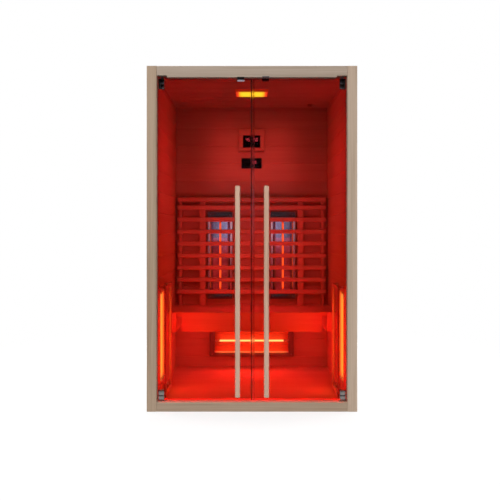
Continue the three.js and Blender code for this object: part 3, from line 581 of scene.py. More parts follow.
bottom, rise = pane_low.z + SEAL_SHORT, pane_high.z - pane_low.z - 2 * SEAL_SHORT
front_in, back_in = glass_front - GASKET, glass_back + GASKET
front_out, back_out = front_in - SEAL_WALL, back_in + SEAL_WALL
for side, sign in SIDES.items():
    leg = LEGS[side]
    channel = [(SEAL_EDGE, front_out), (leg, front_out), (leg, front_in), (SEAL_INNER, front_in),
               (SEAL_INNER, back_in), (leg, back_in), (leg, back_out), (SEAL_EDGE, back_out)]
    bm = bmesh.new()
    face = bm.faces.new([bm.verts.new(at(sign * x, y, bottom)) for x, y in channel])
    lift(bm, bmesh.ops.extrude_face_region(bm, geom=[face], use_keep_orig=True), rise)
    bmesh.ops.recalc_face_normals(bm, faces=bm.faces)
    if side == "left":
        block(bm, (-FIN_EDGE - FIN_WIDTH, front_out - FIN_FRONT, bottom),
              (-FIN_EDGE, front_out - FIN_BACK, bottom + rise), soft=0.3, steps=1, finish=1)
    piece(f"meeting_seal_{side}", bm, f"{side}_door", [clear_pvc, dark_rubber])

# %% [markdown]
# ## Catches under the header
#
# A magnetic catch holds each door. Its moulded body hangs behind the glass, and a thin plate reaches
# forward over the top edge of the glass, with a lip on the face of the header. The right catch has a bright
# keeper in its plate and a grey lip. Each is a few blocks with eased edges, since nothing on it is round.

# %% Catches
# Front of the plate in millimetres, rise of the lip above the catch, and the finishes of plate and lip
CATCHES = {"left": (-480, 2, 0, 0), "right": (-490, 6, 1, 3)}
PLATE_BOTTOM, PLATE_TOP, PLATE_OVERLAP = 2.6, 0.1, 2
LIP_THICKNESS = 2.7
catch_finishes = [black_plastic, satin_nickel, brown_plastic, grey_plastic]
lip_back = corners("front_header")[0].y - FIT
lip_front = lip_back - LIP_THICKNESS
for side, (plate_front, lip_rise, plate, lip) in CATCHES.items():
    name = f"door_catch_{side}"
    low, high = corners(name)
    start_z, end_z = high.z - PLATE_BOTTOM, high.z - PLATE_TOP
    bm = bmesh.new()
    block(bm, low, high, soft=1.5, finish=2)
    block(bm, (low.x, plate_front, start_z), (high.x, low.y + PLATE_OVERLAP, end_z),
          soft=0.6, steps=1, finish=plate)
    block(bm, (low.x, lip_front, start_z), (high.x, plate_front - FIT, end_z), soft=0.6, steps=1, finish=lip)
    block(bm, (low.x, lip_front, start_z), (high.x, lip_back, high.z + lip_rise), soft=0.8, finish=lip)
    piece(f"catch_{side}", bm, "cabin", catch_finishes, [name])

# %% [markdown]
# ## Strike plate
#
# The left pane carries a bright plate below its catch, for the magnet to hold. It is a thin block with two
# screws, and it rides with the door.

# %% Strike plate
STRIKE_X = (-84, -44)
STRIKE_Z = (1888.5, 1899)
STRIKE_SCREWS = {"x": (-76, -52), "z": 1893.7}
STRIKE_GAP, STRIKE_DEPTH = 0.1, 1.4
strike_face = glass_front - STRIKE_DEPTH
bm = bmesh.new()
block(bm, (STRIKE_X[0], strike_face, STRIKE_Z[0]), (STRIKE_X[1], glass_front - STRIKE_GAP, STRIKE_Z[1]),
      soft=0.5)
for screw_x in STRIKE_SCREWS["x"]:
    turned(bm, SCREW, (screw_x, strike_face, STRIKE_SCREWS["z"]), (0, -1, 0), steps=SCREW_STEPS)
piece("strike_plate_left", bm, "left_door", [lacquered_zinc])

# %% [markdown]
# ## Where the heaters are
#
# The five heaters are alike, so each is made once, upright with its back against a wall behind it, and then
# turned into place. The place of a heater is the middle of its back, and its size is its width, depth and
# length.

# %% Heater places
HEATER_TURNS = {
    "back_heater_left": Matrix.Identity(4),
    "back_heater_right": Matrix.Identity(4),
    "bench_heater": Matrix.Rotation(math.radians(90), 4, "Y"),
    "side_heater_left": Matrix.Rotation(math.radians(90), 4, "Z"),
    "side_heater_right": Matrix.Rotation(math.radians(-90), 4, "Z"),
}
BACKWARDS = Vector((0, 1, 0))
heater_places = {}
for name, turn in HEATER_TURNS.items():
    low, high = corners(f"{name}_housing")
    size = Vector([abs(value) for value in turn.to_3x3().inverted() @ (high - low)])
    back = (low + high) / 2 + turn.to_3x3() @ BACKWARDS * size.y / 2
    heater_places[name] = (Matrix.Translation(back / 1000) @ turn, size)
    print(name, [round(value) for value in size], "mm")

# %% [markdown]
# ## Heater reflectors and end plates
#
# Each heater has a folded sheet of metal behind its tube, with a narrow lip on both sides that rests on the
# housing. It starts as a row of points, one for each fold, which is drawn out to the length of the trough
# and given the thickness of sheet metal, as on a folding press. The sheets on the back wall are smooth steel
# with brighter lips, and their blue-grey clouds are painted reflection of the daylight at the doors. Those
# at the sides are hammered and coloured gold, and the one under the bench is hammered and copper-coloured:
# both colours are painted glow, for the orange light of the tube on the sheet. A plate with two screws
# closes each end of the housing.

# %% Steel with a painted reflection
# A cloud of the tint is about 70 mm across.
CLOUDS_PER_METRE = 14
sheet_with_painted_reflection, tree, shader = new_finish("steel_reflector_polished_painted_reflection_tint", Metallic=0.85, Roughness=0.3)
place = add_node(tree, "ShaderNodeTexCoord", {}).outputs["Object"]
clouds = add_node(tree, "ShaderNodeTexNoise", {"Vector": place, "Scale": CLOUDS_PER_METRE, "Detail": 3.0})
# The blue-grey of these stops is painted reflection of the daylight at the doors, laid on in clouds.
tint = add_node(tree, "ShaderNodeValToRGB", {0: clouds.outputs[0]},
                stops=[(0.3, "#8C86A0"), (0.7, "#BCB8CC"), (0.5, "#A6A0B8")])
rough = add_node(tree, "ShaderNodeMapRange", {"Value": clouds.outputs[0], "To Min": 0.06, "To Max": 0.14})
tree.links.new(tint.outputs[0], shader.inputs["Base Color"])
tree.links.new(rough.outputs[0], shader.inputs["Roughness"])
print("tinted sheet with", len(tree.nodes), "nodes")

# %% Reflectors
TROUGH_END = 37
MOUTH_HALF = 74
SHEET_LIFT = 0.9
SHEET_METAL = 0.5
PLATE_MARGIN = 4
PLATE_INNER, PLATE_OUTER = 3, 3
PLATE_FACE, PLATE_SEAT = 1.6, 0.1
PLATE_SCREW_INSET = 12
# Width of the lip, half the width of the floor of the trough, its distance from the back, and three finishes
SHEETS = {
    "back": (13.5, 53, 19, sheet_with_painted_reflection, dark_steel, bright_lip),
    "bench": (11, 41, 5, copper_painted_glow_reflector, brown_coat, pale_lip),
    "side": (11, 41, 5, gold_painted_glow_reflector, beige_coat, pale_lip),
}


def folded_sheet(bm, half_fold, length):
    """Sheet metal: half a fold and its mirror image, drawn out upwards, with the lips in finish 3."""
    fold = [(-x, y) for x, y in half_fold] + half_fold[::-1]
    verts = [bm.verts.new(at(x, y, -length / 2)) for x, y in fold]
    edges = [bm.edges.new(pair) for pair in zip(verts, verts[1:])]
    lift(bm, bmesh.ops.extrude_edge_only(bm, edges=edges), length)
    for face in bm.faces:
        face.material_index = 3 if abs(face.calc_center_median().x) * 1000 > MOUTH_HALF else 0
    bmesh.ops.solidify(bm, geom=bm.faces[:], thickness=SHEET_METAL / 1000)
    bmesh.ops.recalc_face_normals(bm, faces=bm.faces)


for name, (place, size) in heater_places.items():
    lip_width, floor_half, floor_y, sheet, coat, lip = SHEETS[name.split("_")[0]]
    front, plate_face = -size.y - SHEET_LIFT, -size.y - PLATE_FACE
    bm = bmesh.new()
    half_fold = [(MOUTH_HALF + lip_width, front), (MOUTH_HALF, front), (floor_half, -floor_y)]
    folded_sheet(bm, half_fold, size.z - 2 * TROUGH_END - 1)
    half_width = size.x / 2 - PLATE_MARGIN
    inner_z, outer_z = size.z / 2 - TROUGH_END + PLATE_INNER, size.z / 2 - PLATE_OUTER
    for end in (-1, 1):
        start_z, end_z = sorted((end * inner_z, end * outer_z))
        screw_z = (start_z + end_z) / 2
        block(bm, (-half_width, plate_face, start_z), (half_width, -size.y - PLATE_SEAT, end_z),
              soft=0.6, finish=1)
        for screw_x in (PLATE_SCREW_INSET - half_width, half_width - PLATE_SCREW_INSET):
            turned(bm, SCREW, (screw_x, plate_face, screw_z), (0, -1, 0), finish=2, steps=SCREW_STEPS)
    bm.transform(place)
    piece(f"{name}_reflector", bm, "cabin", [sheet, coat, satin_steel, lip])

# %% [markdown]
# ## Heater tubes
#
# A quartz tube holds a coil that glows orange. It is brightest along its middle and fades to a dull red
# towards the ends, where the coil is cooler. There a ceramic collar holds it, in front of the sleeve of its
# socket. An even glow would look like a neon tube, so a value on the mesh, from 0 at the ends to the most
# in the middle, drives that fade.

# %% Glowing quartz
glowing_quartz, tree, shader = new_finish("fused_quartz_tube_glowing", Base_Color=linear("#D98A4A"),
                                          Roughness=0.2)
warmth = add_node(tree, "ShaderNodeAttribute", {}, attribute_name="warmth").outputs["Fac"]
glow = add_node(tree, "ShaderNodeValToRGB", {0: warmth},
                stops=[(0.0, "#3A0500"), (1.0, "#FFB464"), (0.45, "#FF4A10")])
power = add_node(tree, "ShaderNodeMapRange", {"Value": warmth, "To Min": 0.2, "To Max": 1.7})
tree.links.new(glow.outputs[0], shader.inputs["Emission Color"])
tree.links.new(power.outputs[0], shader.inputs["Emission Strength"])
print("quartz with", len(tree.nodes), "nodes")

# %% Tubes
# Warmth in the middle, and the length in millimetres over which an end is cooler
WARMTH = {"back": (0.5, 24), "bench": (1.0, 5), "side": (0.45, 24)}
SOCKET_LENGTH = 24
TUBE_SINK = 11
TUBE_RADIUS, TUBE_TIP = 6.5, 5.4
TUBE_CHAMFER, TUBE_COLLARED = 1.2, 8
TUBE_STEPS = 24
COLLAR = [(6.7, 0), (8.6, 0), (8.8, 1), (8.8, 11), (8.2, 12), (6.7, 12), (6.7, 0)]
SLEEVE = [(10.2, 0), (10.8, 0.3), (11, 0.8), (11, 22.8), (10.8, 23.3), (10.2, 23.6), (10.2, 0)]
for name, (place, size) in heater_places.items():
    warmest, cool_end = WARMTH[name.split("_")[0]]
    half = size.z / 2 - TROUGH_END - SOCKET_LENGTH - FIT
    tube_y = TUBE_SINK - size.y
    steps = sorted((TUBE_CHAMFER, TUBE_COLLARED, cool_end))
    lower = [(0, -half), (TUBE_TIP, -half), *[(TUBE_RADIUS, step - half) for step in steps]]
    rings = [*lower, (TUBE_RADIUS, 0), *[(radius, -height) for radius, height in reversed(lower)]]
    bm = bmesh.new()
    turned(bm, rings, (0, tube_y, 0), (0, 0, 1), steps=TUBE_STEPS)
    for end in (-1, 1):
        turned(bm, COLLAR, (0, tube_y, end * half), (0, 0, -end), finish=1, steps=TUBE_STEPS)
        turned(bm, SLEEVE, (0, tube_y, end * half), (0, 0, end), finish=1, steps=TUBE_STEPS)
    layer = bm.verts.layers.float.new("warmth")
    for vert in bm.verts:
        vert[layer] = warmest * min(1.0, max(0.0, (half - abs(vert.co.z) * 1000) / cool_end))
    bm.transform(place)
    piece(f"{name}_lamp", bm, "cabin", [glowing_quartz, ceramic], [f"{name}_tube"])

# %% [markdown]
# ## Heater guards
#
# A light wooden frame keeps legs off each side heater. It is four bars with eased edges on short feet, so
# it is built from blocks in the place of the plain solid, which has sharp edges and no joints.

# %% Guards
POST, RAIL, BAR_THICKNESS = 22, 20, 12
GUARD_ROUND = 1.8
FOOT_MARGIN, FOOT_SINK = 2, 1
RAIL_SETBACK = 0.4
guard_wood = hemlock("hemlock_guard_sanded", *BENCH_TONES, "Z", roughness=SANDED)
for side, sign in SIDES.items():
    low, high = corners(f"heater_guard_{side}")
    face = [low.x, low.x + BAR_THICKNESS] if sign > 0 else [high.x - BAR_THICKNESS, high.x]
    foot = [face[1] - FOOT_SINK, high.x] if sign > 0 else [low.x, face[0] + FOOT_SINK]
    rails = (low.z, high.z - RAIL)
    bm = bmesh.new()
    for post_y in (low.y, high.y - POST):
        block(bm, (face[0], post_y, low.z), (face[1], post_y + POST, high.z), soft=GUARD_ROUND, steps=3)
        for rail_z in rails:
            block(bm, (foot[0], post_y + FOOT_MARGIN, rail_z + FOOT_MARGIN),
                  (foot[1], post_y + POST - FOOT_MARGIN, rail_z + RAIL - FOOT_MARGIN), soft=1)
    for rail_z in rails:
        block(bm, (face[0] + RAIL_SETBACK, low.y + POST, rail_z),
              (face[1] - RAIL_SETBACK, high.y - POST, rail_z + RAIL), soft=GUARD_ROUND, steps=3)
    piece(f"guard_{side}", bm, "cabin", [guard_wood], [f"heater_guard_{side}"])

# %% [markdown]
# ## Backrest frame
#
# The slats are screwed to four upright battens, with a cap rail over their ends. Battens and rail have
# different grain directions, so they are made as two pieces in the place of the one solid.

# %% Backrest frame
CAP_HEIGHT = 30
CAP_SEAT = 0.2
BATTENS = ((-516, 20), (-355, 44), (355, 44), (516, 20))
low, high = corners("backrest_frame")
cap_bottom = high.z - CAP_HEIGHT
bm = bmesh.new()
block(bm, (low.x, low.y, cap_bottom), high, soft=4, steps=3)
piece("backrest_cap", bm, "cabin", [bench_level], ["backrest_frame"])

batten_front = corners("backrest_slat_1")[1].y + FIT
bm = bmesh.new()
for middle_x, width in BATTENS:
    left, right = middle_x - width / 2, middle_x + width / 2
    block(bm, (left, batten_front, low.z), (right, high.y, cap_bottom - CAP_SEAT), soft=2)
piece("backrest_battens", bm, "cabin", [bench_upright])

# %% [markdown]
# ## Control box
#
# The controls are in a wooden box on the back wall, made of four rails round a black display, with a shadow
# gap over its bottom strip. Blocks for the rails leave the opening free, so nothing has to be cut.

# %% Control box
STRIP_TOP, GAP_TOP = 4, 10
control_wood = hemlock("hemlock_control_box_planed", *LINING_TONES, "X")
low, high = corners("control_box")
window_low, window_high = corners("control_display")
left, right = window_low.x - FIT, window_high.x + FIT
bottom, top = window_low.z - FIT, window_high.z + FIT
rails = {
    "top": ((low.x, low.y, top), high),
    "bottom": ((low.x, low.y, low.z + GAP_TOP), (high.x, high.y, bottom)),
    "left": ((low.x, low.y, bottom), (left, high.y, top)),
    "right": ((right, low.y, bottom), (high.x, high.y, top)),
}
bm = bmesh.new()
for start, end in rails.values():
    block(bm, start, end, soft=3, steps=3)
block(bm, low, (high.x, high.y, low.z + STRIP_TOP), soft=1.5, steps=3)
piece("control_box_rails", bm, "cabin", [control_wood], ["control_box"])

# %% [markdown]
# ## Display
#
# A display has a bezel with its window a little deeper. Two insets of the front face of a block give that:
# the first marks the bezel, and the second goes inwards.

# %% Display panel
WINDOW_STEP = 0.7
DISPLAY_BEZEL = 4


def panel(bm, low, high, bezel):
    """Black panel with a bezel round a deeper window, facing the front."""
    block(bm, low, high, soft=1.5, steps=3)
    front = [face for face in bm.faces if face.normal.y < -0.99]
    step = WINDOW_STEP / 1000
    bmesh.ops.inset_region(bm, faces=front, thickness=bezel / 1000, depth=0, use_even_offset=True)
    bmesh.ops.inset_region(bm, faces=front, thickness=step, depth=-step, use_even_offset=True)
    for face in front:
        face.material_index = 1


bm = bmesh.new()
panel(bm, window_low, window_high, DISPLAY_BEZEL)
piece("display_panel", bm, "cabin", [black_plastic, black_glass], ["control_display"])

# %% [markdown]
# ## Digits
#
# The digits are thin red bars on the black windows: the temperature and the minutes left. Each digit has
# seven bars, and lights some of them, so a table of the unlit ones is shorter than a font. They shine, so
# they are emissive, and a slow noise makes some bars a little brighter than others, as old displays are.
# The numbers are only examples. Five small round keys sit below.

# %% Lit segments
# Brightness changes over about 11 mm, which is the width of a digit.
PATCHES_PER_METRE = 90
lit_red, tree, shader = new_finish("led_segment_red_lit", Base_Color=linear("#5A0A12"), Roughness=0.4,
                                   Emission_Color=linear("#FF4A5C"))
place = add_node(tree, "ShaderNodeTexCoord", {}).outputs["Object"]
patchy = add_node(tree, "ShaderNodeTexNoise", {"Vector": place, "Scale": PATCHES_PER_METRE})
power = add_node(tree, "ShaderNodeMapRange", {"Value": patchy.outputs[0], "To Min": 1.1, "To Max": 1.9})
tree.links.new(power.outputs[0], shader.inputs["Emission Strength"])
print("lit segments with", len(tree.nodes), "nodes")

# %% Digits
# Lower left and upper right corner of each bar, as shares of a digit's width and height
BARS = {
    "top": ((0.15, 0.93), (0.85, 1.0)),
    "middle": ((0.15, 0.465), (0.85, 0.535)),
    "bottom": ((0.15, 0.0), (0.85, 0.07)),
    "left_low": ((0.0, 0.05), (0.14, 0.46)),
    "left_high": ((0.0, 0.54), (0.14, 0.95)),
    "right_low": ((0.86, 0.05), (1.0, 0.46)),
    "right_high": ((0.86, 0.54), (1.0, 0.95)),
}
UNLIT = {
    "0": ["middle"],
    "1": ["top", "middle", "bottom", "left_low", "left_high"],
    "3": ["left_low", "left_high"],
    "4": ["top", "bottom", "left_low"],
    "5": ["left_low", "right_high"],
    "6": ["right_high"],
}
SEGMENT_DEPTH = 0.35
GLASS_SINK = 0.4


def digits(bm, number, left, bottom, width, height, spacing, front):
    """Lit bars of a number, from its lower left corner in millimetres."""
    for index, character in enumerate(number):
        start = left + index * spacing
        for bar, ((x0, z0), (x1, z1)) in BARS.items():
            if bar not in UNLIT[character]:
                block(bm, (start + x0 * width, front, bottom + z0 * height),
                      (start + x1 * width, front + SEGMENT_DEPTH, bottom + z1 * height), soft=0.12, steps=1)


DISPLAY_NUMBERS = {"45": -41, "60": 18}
DISPLAY_DIGIT = {"bottom": 1681, "width": 11, "height": 23, "spacing": 16}
KEY = [(0, 0), (2.6, 0), (2.6, 0.3), (0, 0.4)]
KEY_COUNT, KEY_PITCH, KEY_Z, KEY_SINK = 5, 21, 1662, 0.3
bm = bmesh.new()
digit_front = window_low.y + GLASS_SINK
for number, left in DISPLAY_NUMBERS.items():
    digits(bm, number, left, **DISPLAY_DIGIT, front=digit_front)
for index in range(KEY_COUNT):
    key_x = (index - (KEY_COUNT - 1) / 2) * KEY_PITCH
    turned(bm, KEY, (key_x, digit_front + KEY_SINK, KEY_Z), (0, -1, 0), finish=1, steps=16)
piece("display_digits", bm, "cabin", [lit_red, dark_steel])

# %% [markdown]
# ## Media panel
#
# Below the control box is a smaller black panel for sound, with a clock, a row of keys, and sockets for a
# plug and a memory stick. It has the same bezel and the same digits, so the same two functions make it.

# %% Media panel
MEDIA_BEZEL = 5
KEY_HALF_WIDTH = 7
KEY_BOTTOM, KEY_TOP = 10, 17
KEY_PROUD, KEY_ROOT = 0.6, 1
MEDIA_KEYS, MEDIA_KEY_PITCH = 6, 20
JACK = [(0, -1), (6, -1), (6, 1), (4.5, 1.6), (3.3, 1.4), (3.2, 0.4), (0, 0.4)]
JACK_X, JACK_DROP, JACK_SINK = -50, 27, 0.7
PORT_X, PORT_DROP, PORT_PROUD = (-38, -22), (32, 22), 0.3
low, high = corners("media_panel")
bm = bmesh.new()
panel(bm, low, high, MEDIA_BEZEL)
for index in range(MEDIA_KEYS):
    key_x = (index - (MEDIA_KEYS - 1) / 2) * MEDIA_KEY_PITCH
    block(bm, (key_x - KEY_HALF_WIDTH, low.y - KEY_PROUD, low.z + KEY_BOTTOM),
          (key_x + KEY_HALF_WIDTH, low.y + KEY_ROOT, low.z + KEY_TOP), soft=0.5)
turned(bm, JACK, (JACK_X, low.y + JACK_SINK, high.z - JACK_DROP), (0, -1, 0), steps=24)
block(bm, (PORT_X[0], low.y - PORT_PROUD, high.z - PORT_DROP[0]),
      (PORT_X[1], low.y + KEY_ROOT, high.z - PORT_DROP[1]), soft=0.6)
piece("media_unit", bm, "cabin", [black_plastic, black_glass], ["media_panel"])

# %% Clock
CLOCK_LEFT, CLOCK_RISE = -16, 34
CLOCK_DIGIT = {"width": 9, "height": 19, "spacing": 13.5}
DOT_X, DOT_RISES, DOT_HEIGHT = (8.2, 9.8), (39, 48), 1.8
digit_front = low.y + GLASS_SINK
bm = bmesh.new()
digits(bm, "1030", CLOCK_LEFT, low.z + CLOCK_RISE, **CLOCK_DIGIT, front=digit_front)
for dot_rise in DOT_RISES:
    dot_z = low.z + dot_rise
    block(bm, (DOT_X[0], digit_front, dot_z), (DOT_X[1], digit_front + SEGMENT_DEPTH, dot_z + DOT_HEIGHT),
          soft=0.1, steps=1)
piece("media_digits", bm, "cabin", [lit_red])

# %% [markdown]
# ## Ceiling lamp
#
# The lamp has a frosted acrylic lens over its bulbs, in an amber housing that some of their light seeps
# through. The middle is bright yellow and the ends are a dim orange red. A lamp behind a real diffuser
# would take long to trace, so the lens shines by itself, and its emission follows the distance from the
# middle of the lens, as a share of its length and width.

# %% Lamp lens
lamp_lens, tree, shader = new_finish("acrylic_lens_frosted_lit", Base_Color=linear("#F2DFA0"), Roughness=0.5)
place = add_node(tree, "ShaderNodeTexCoord", {}).outputs["Object"]
lens_low, lens_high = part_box("ceiling_lamp_lens")
inner = add_node(tree, "ShaderNodeVectorMath", {0: place, 1: (lens_low + lens_high) / 2},
                 operation="SUBTRACT")
share = add_node(tree, "ShaderNodeVectorMath", {0: inner.outputs[0], 1: (lens_high - lens_low) / 2},
                 operation="DIVIDE")
away = add_node(tree, "ShaderNodeVectorMath", {0: share.outputs[0]}, operation="ABSOLUTE")
parts = add_node(tree, "ShaderNodeSeparateXYZ", {0: away.outputs[0]})
glow = add_node(tree, "ShaderNodeValToRGB", {0: parts.outputs["X"]},
                stops=[(0.6, "#FFDC28"), (1.0, "#C81E0C"), (0.78, "#FFB41E"), (0.87, "#F0501A")])
power = add_node(tree, "ShaderNodeMapRange", {
    "Value": parts.outputs["Y"], "From Min": 0.6, "From Max": 1.0, "To Min": 1.05, "To Max": 0.6})
tree.links.new(glow.outputs[0], shader.inputs["Emission Color"])
tree.links.new(power.outputs[0], shader.inputs["Emission Strength"])
bm = bmesh.new()
block(bm, *corners("ceiling_lamp_lens"), soft=3, steps=3)
piece("lamp_lens", bm, "cabin", [lamp_lens], ["ceiling_lamp_lens"])

# %% [markdown]
# ## Temperature sensor
#
# The sensor is a small moulded cap under the ceiling, with rings of vents. It is round, so one profile,
# turned, gives the cap and its rings in one piece.

# %% Sensor
SENSOR = [(0, 0), (20, 0), (20, 3.5), (18, 4), (18, 5.2), (19, 5.6), (19, 7), (17, 7.4), (17, 8.6),
          (17.6, 9), (17, 11.5), (13, 13.5), (0, 14)]
low, high = corners("temperature_sensor")
bm = bmesh.new()
turned(bm, SENSOR, ((low.x + high.x) / 2, (low.y + high.y) / 2, high.z), (0, 0, -1))
piece("sensor_cap", bm, "cabin", [beige_plastic], ["temperature_sensor"])

# %% [markdown]
# ## Power cover on the roof
#
# A folded steel cover protects the power module. It has louvres on its two ends, a screw near each corner,
# and a plastic gland with a hexagon nut where the supply cable enters. The louvres are rows of rounded
# blocks, which catch the light as pressed ones do, and the nut is a lathe shape of six steps.

# %% Power cover
COVER_ROUND = 3
COVER_DROP, COVER_SCREW_DROP = 0.5, 0.9
LOUVRES, FIRST_LOUVRE, LOUVRE_PITCH, LOUVRE_HEIGHT = 6, 14, 9, 4
LOUVRE_PROUD, LOUVRE_ROOT, LOUVRE_MARGIN = 2.2, 1, 45
COVER_SCREW_INSET = 14
GLAND_RISE, GLAND_LENGTH = 35, 26
GLAND_NUT = [(0, 0), (16, 0), (16, 7), (15, 8), (0, 8)]
GLAND = [(0, 8), (12, 8), (12, 20), (10.5, 25), (9.5, 26), (5.5, 26), (5, 22), (0, 22)]
low, high = corners("power_cover")
wall_y = high.y - GLAND_LENGTH
gland_place = ((low.x + high.x) / 2, wall_y, low.z + GLAND_RISE)
bm = bmesh.new()
block(bm, low, (high.x, wall_y, high.z - COVER_DROP), soft=COVER_ROUND, steps=3)
for face_x, outward in ((low.x, -1), (high.x, 1)):
    near, far = sorted((face_x - LOUVRE_ROOT * outward, face_x + LOUVRE_PROUD * outward))
    for row in range(LOUVRES):
        row_z = low.z + FIRST_LOUVRE + row * LOUVRE_PITCH
        block(bm, (near, low.y + LOUVRE_MARGIN, row_z), (far, wall_y - LOUVRE_MARGIN, row_z + LOUVRE_HEIGHT),
              soft=0.9)
screw_z = high.z - COVER_SCREW_DROP
for screw_x in (low.x + COVER_SCREW_INSET, high.x - COVER_SCREW_INSET):
    for screw_y in (low.y + COVER_SCREW_INSET, wall_y - COVER_SCREW_INSET):
        turned(bm, SCREW, (screw_x, screw_y, screw_z), (0, 0, 1), finish=1, steps=SCREW_STEPS)
turned(bm, GLAND_NUT, gland_place, (0, 1, 0), finish=2, steps=6)
turned(bm, GLAND, gland_place, (0, 1, 0), finish=2)
piece("power_box", bm, "cabin", [pale_coat, satin_steel, black_plastic], ["power_cover"])

# %% [markdown]
# ## Rays on the stage
#
# The floor, the white surroundings and the studio behind the camera are the stage. What they show depends
# on how a ray came to them. One that only looks, straight or by way of metal or glass, sees white. One that
# left the red room through the glass, after a bounce inside, finds nothing, so the room isn't washed out by
# the studio.

# %% Stage tools
def looks(tree, path):
    """1 for a ray from the camera, from metal or through glass, and 0 for one that lights a surface."""
    mirrored = add_node(tree, "ShaderNodeMath", {0: path["Is Glossy Ray"], 1: path["Is Transmission Ray"]},
                        operation="ADD")
    return add_node(tree, "ShaderNodeMath", {0: path["Is Camera Ray"], 1: mirrored.outputs[0]},
                    operation="ADD", use_clamp=True).outputs[0]


def left_room(tree, path, *bounces):
    """1 for a ray that left the cabin through the glass after one of the bounces, and 0 for others."""
    count = add_node(tree, "ShaderNodeMath", {0: path[bounces[0]], 1: path[bounces[-1]]},
                     operation="ADD", use_clamp=True)
    return add_node(tree, "ShaderNodeMath", {0: count.outputs[0], 1: path["Is Transmission Ray"]},
                    operation="MULTIPLY").outputs[0]


def stage_piece(name, bm, paint_name):
    """Turns a bmesh into an object of the stage, and returns it with the empty tree of its paint."""
    mesh = bpy.data.meshes.new(name)
    bm.to_mesh(mesh)
    bm.free()
    paint = bpy.data.materials.new(paint_name)
    paint.use_nodes = True
    paint.node_tree.nodes.clear()
    mesh.materials.append(paint)
    made = bpy.data.objects.new(name, mesh)
    bpy.context.scene.collection.objects.link(made)
    return made, paint.node_tree


print("stage tools looks, left_room and stage_piece")

# %% [markdown]
# ## Floor
#
# The cabin stands on a plain white floor. The camera sees a little extra white on it, so it joins the white
# background, and a soft shadow under the cabin stays. A square plane would show its edges, so it is a disc
# that fades out towards its rim.

# %% Floor
FLOOR_RADIUS = 2.6
FADE_START = 0.9
FLOOR_DROP = 0.0005
bm = bmesh.new()
bmesh.ops.create_circle(bm, cap_ends=True, radius=FLOOR_RADIUS, segments=96)
floor, tree = stage_piece("floor", bm, "floor_matt_white_paint")
floor.location.z = -FLOOR_DROP
print("floor at", round(floor.location.z, 4), "m")

# %% Floor paint
path = add_node(tree, "ShaderNodeLightPath", {}).outputs
matt = add_node(tree, "ShaderNodeBsdfDiffuse", {"Color": linear("#9A9A9A")})
extra = add_node(tree, "ShaderNodeEmission", {"Strength": looks(tree, path), "Color": linear("#DEDEDE")})
white = add_node(tree, "ShaderNodeAddShader", {0: matt.outputs[0], 1: extra.outputs[0]})
nothing = add_node(tree, "ShaderNodeBsdfDiffuse", {"Color": linear("#000000")})
near = add_node(tree, "ShaderNodeMixShader", {
    0: left_room(tree, path, "Diffuse Depth", "Glossy Depth"), 1: white.outputs[0], 2: nothing.outputs[0]})
place = add_node(tree, "ShaderNodeTexCoord", {}).outputs["Object"]
away = add_node(tree, "ShaderNodeVectorMath", {0: place}, operation="LENGTH")
fade = add_node(tree, "ShaderNodeMapRange", {
    "Value": away.outputs["Value"], "From Min": FADE_START, "From Max": FLOOR_RADIUS},
    interpolation_type="SMOOTHSTEP")
clear = add_node(tree, "ShaderNodeBsdfTransparent", {})
seen = add_node(tree, "ShaderNodeMixShader", {0: fade.outputs[0], 1: near.outputs[0], 2: clear.outputs[0]})
add_node(tree, "ShaderNodeOutputMaterial", {"Surface": seen.outputs[0]})
print("floor paint with", len(tree.nodes), "nodes")

# %% [markdown]
# ## Surroundings
#
# The world is white where the camera, metal or glass looks at it, and only a faint grey where it lights a
# surface. A bright world would light everything evenly from all sides and flatten the wood.

# %% World
WORLD_LIGHT = 0.03
world = bpy.data.worlds.new("studio")
bpy.context.scene.world = world
world.use_nodes = True
tree = world.node_tree
tree.nodes.clear()
path = add_node(tree, "ShaderNodeLightPath", {}).outputs
level = add_node(tree, "ShaderNodeMapRange", {
    "Value": looks(tree, path), "To Min": WORLD_LIGHT, "To Max": 1.0})
gone = left_room(tree, path, "Diffuse Depth")
kept = add_node(tree, "ShaderNodeMath", {0: 1.0, 1: gone}, operation="SUBTRACT")
strength = add_node(tree, "ShaderNodeMath", {0: level.outputs[0], 1: kept.outputs[0]}, operation="MULTIPLY")
sky = add_node(tree, "ShaderNodeBackground", {"Color": linear("#FFFFFF"), "Strength": strength.outputs[0]})
add_node(tree, "ShaderNodeOutputWorld", {"Surface": sky.outputs[0]})
bpy.context.scene.view_settings.view_transform = "Standard"
print("world light", WORLD_LIGHT)

# %% [markdown]
# ## Studio light
#
# Three large soft boxes light the front, one from behind the camera and two from its sides, so that an open
# door doesn't leave the frame beside it in the dark. Weaker boxes at the sides, behind and overhead light
# the other faces.

# %% Studio
def soft_box(name, place, target, size, watts, colour=(1, 1, 1), spread=180):
    """Rectangular area lamp that points at a target, over a spread in degrees, and isn't seen itself."""
    data = bpy.data.lights.new(name, "AREA")
    data.shape = "RECTANGLE"
    data.size, data.size_y = size
    data.energy = watts
    data.color = colour
    data.spread = math.radians(spread)
    lamp = bpy.data.objects.new(name, data)
    lamp.location = place
    lamp.rotation_euler = (Vector(target) - Vector(place)).to_track_quat("-Z", "Y").to_euler()
    lamp.visible_camera = lamp.visible_transmission = lamp.visible_glossy = False
    bpy.context.scene.collection.objects.link(lamp)
    return lamp


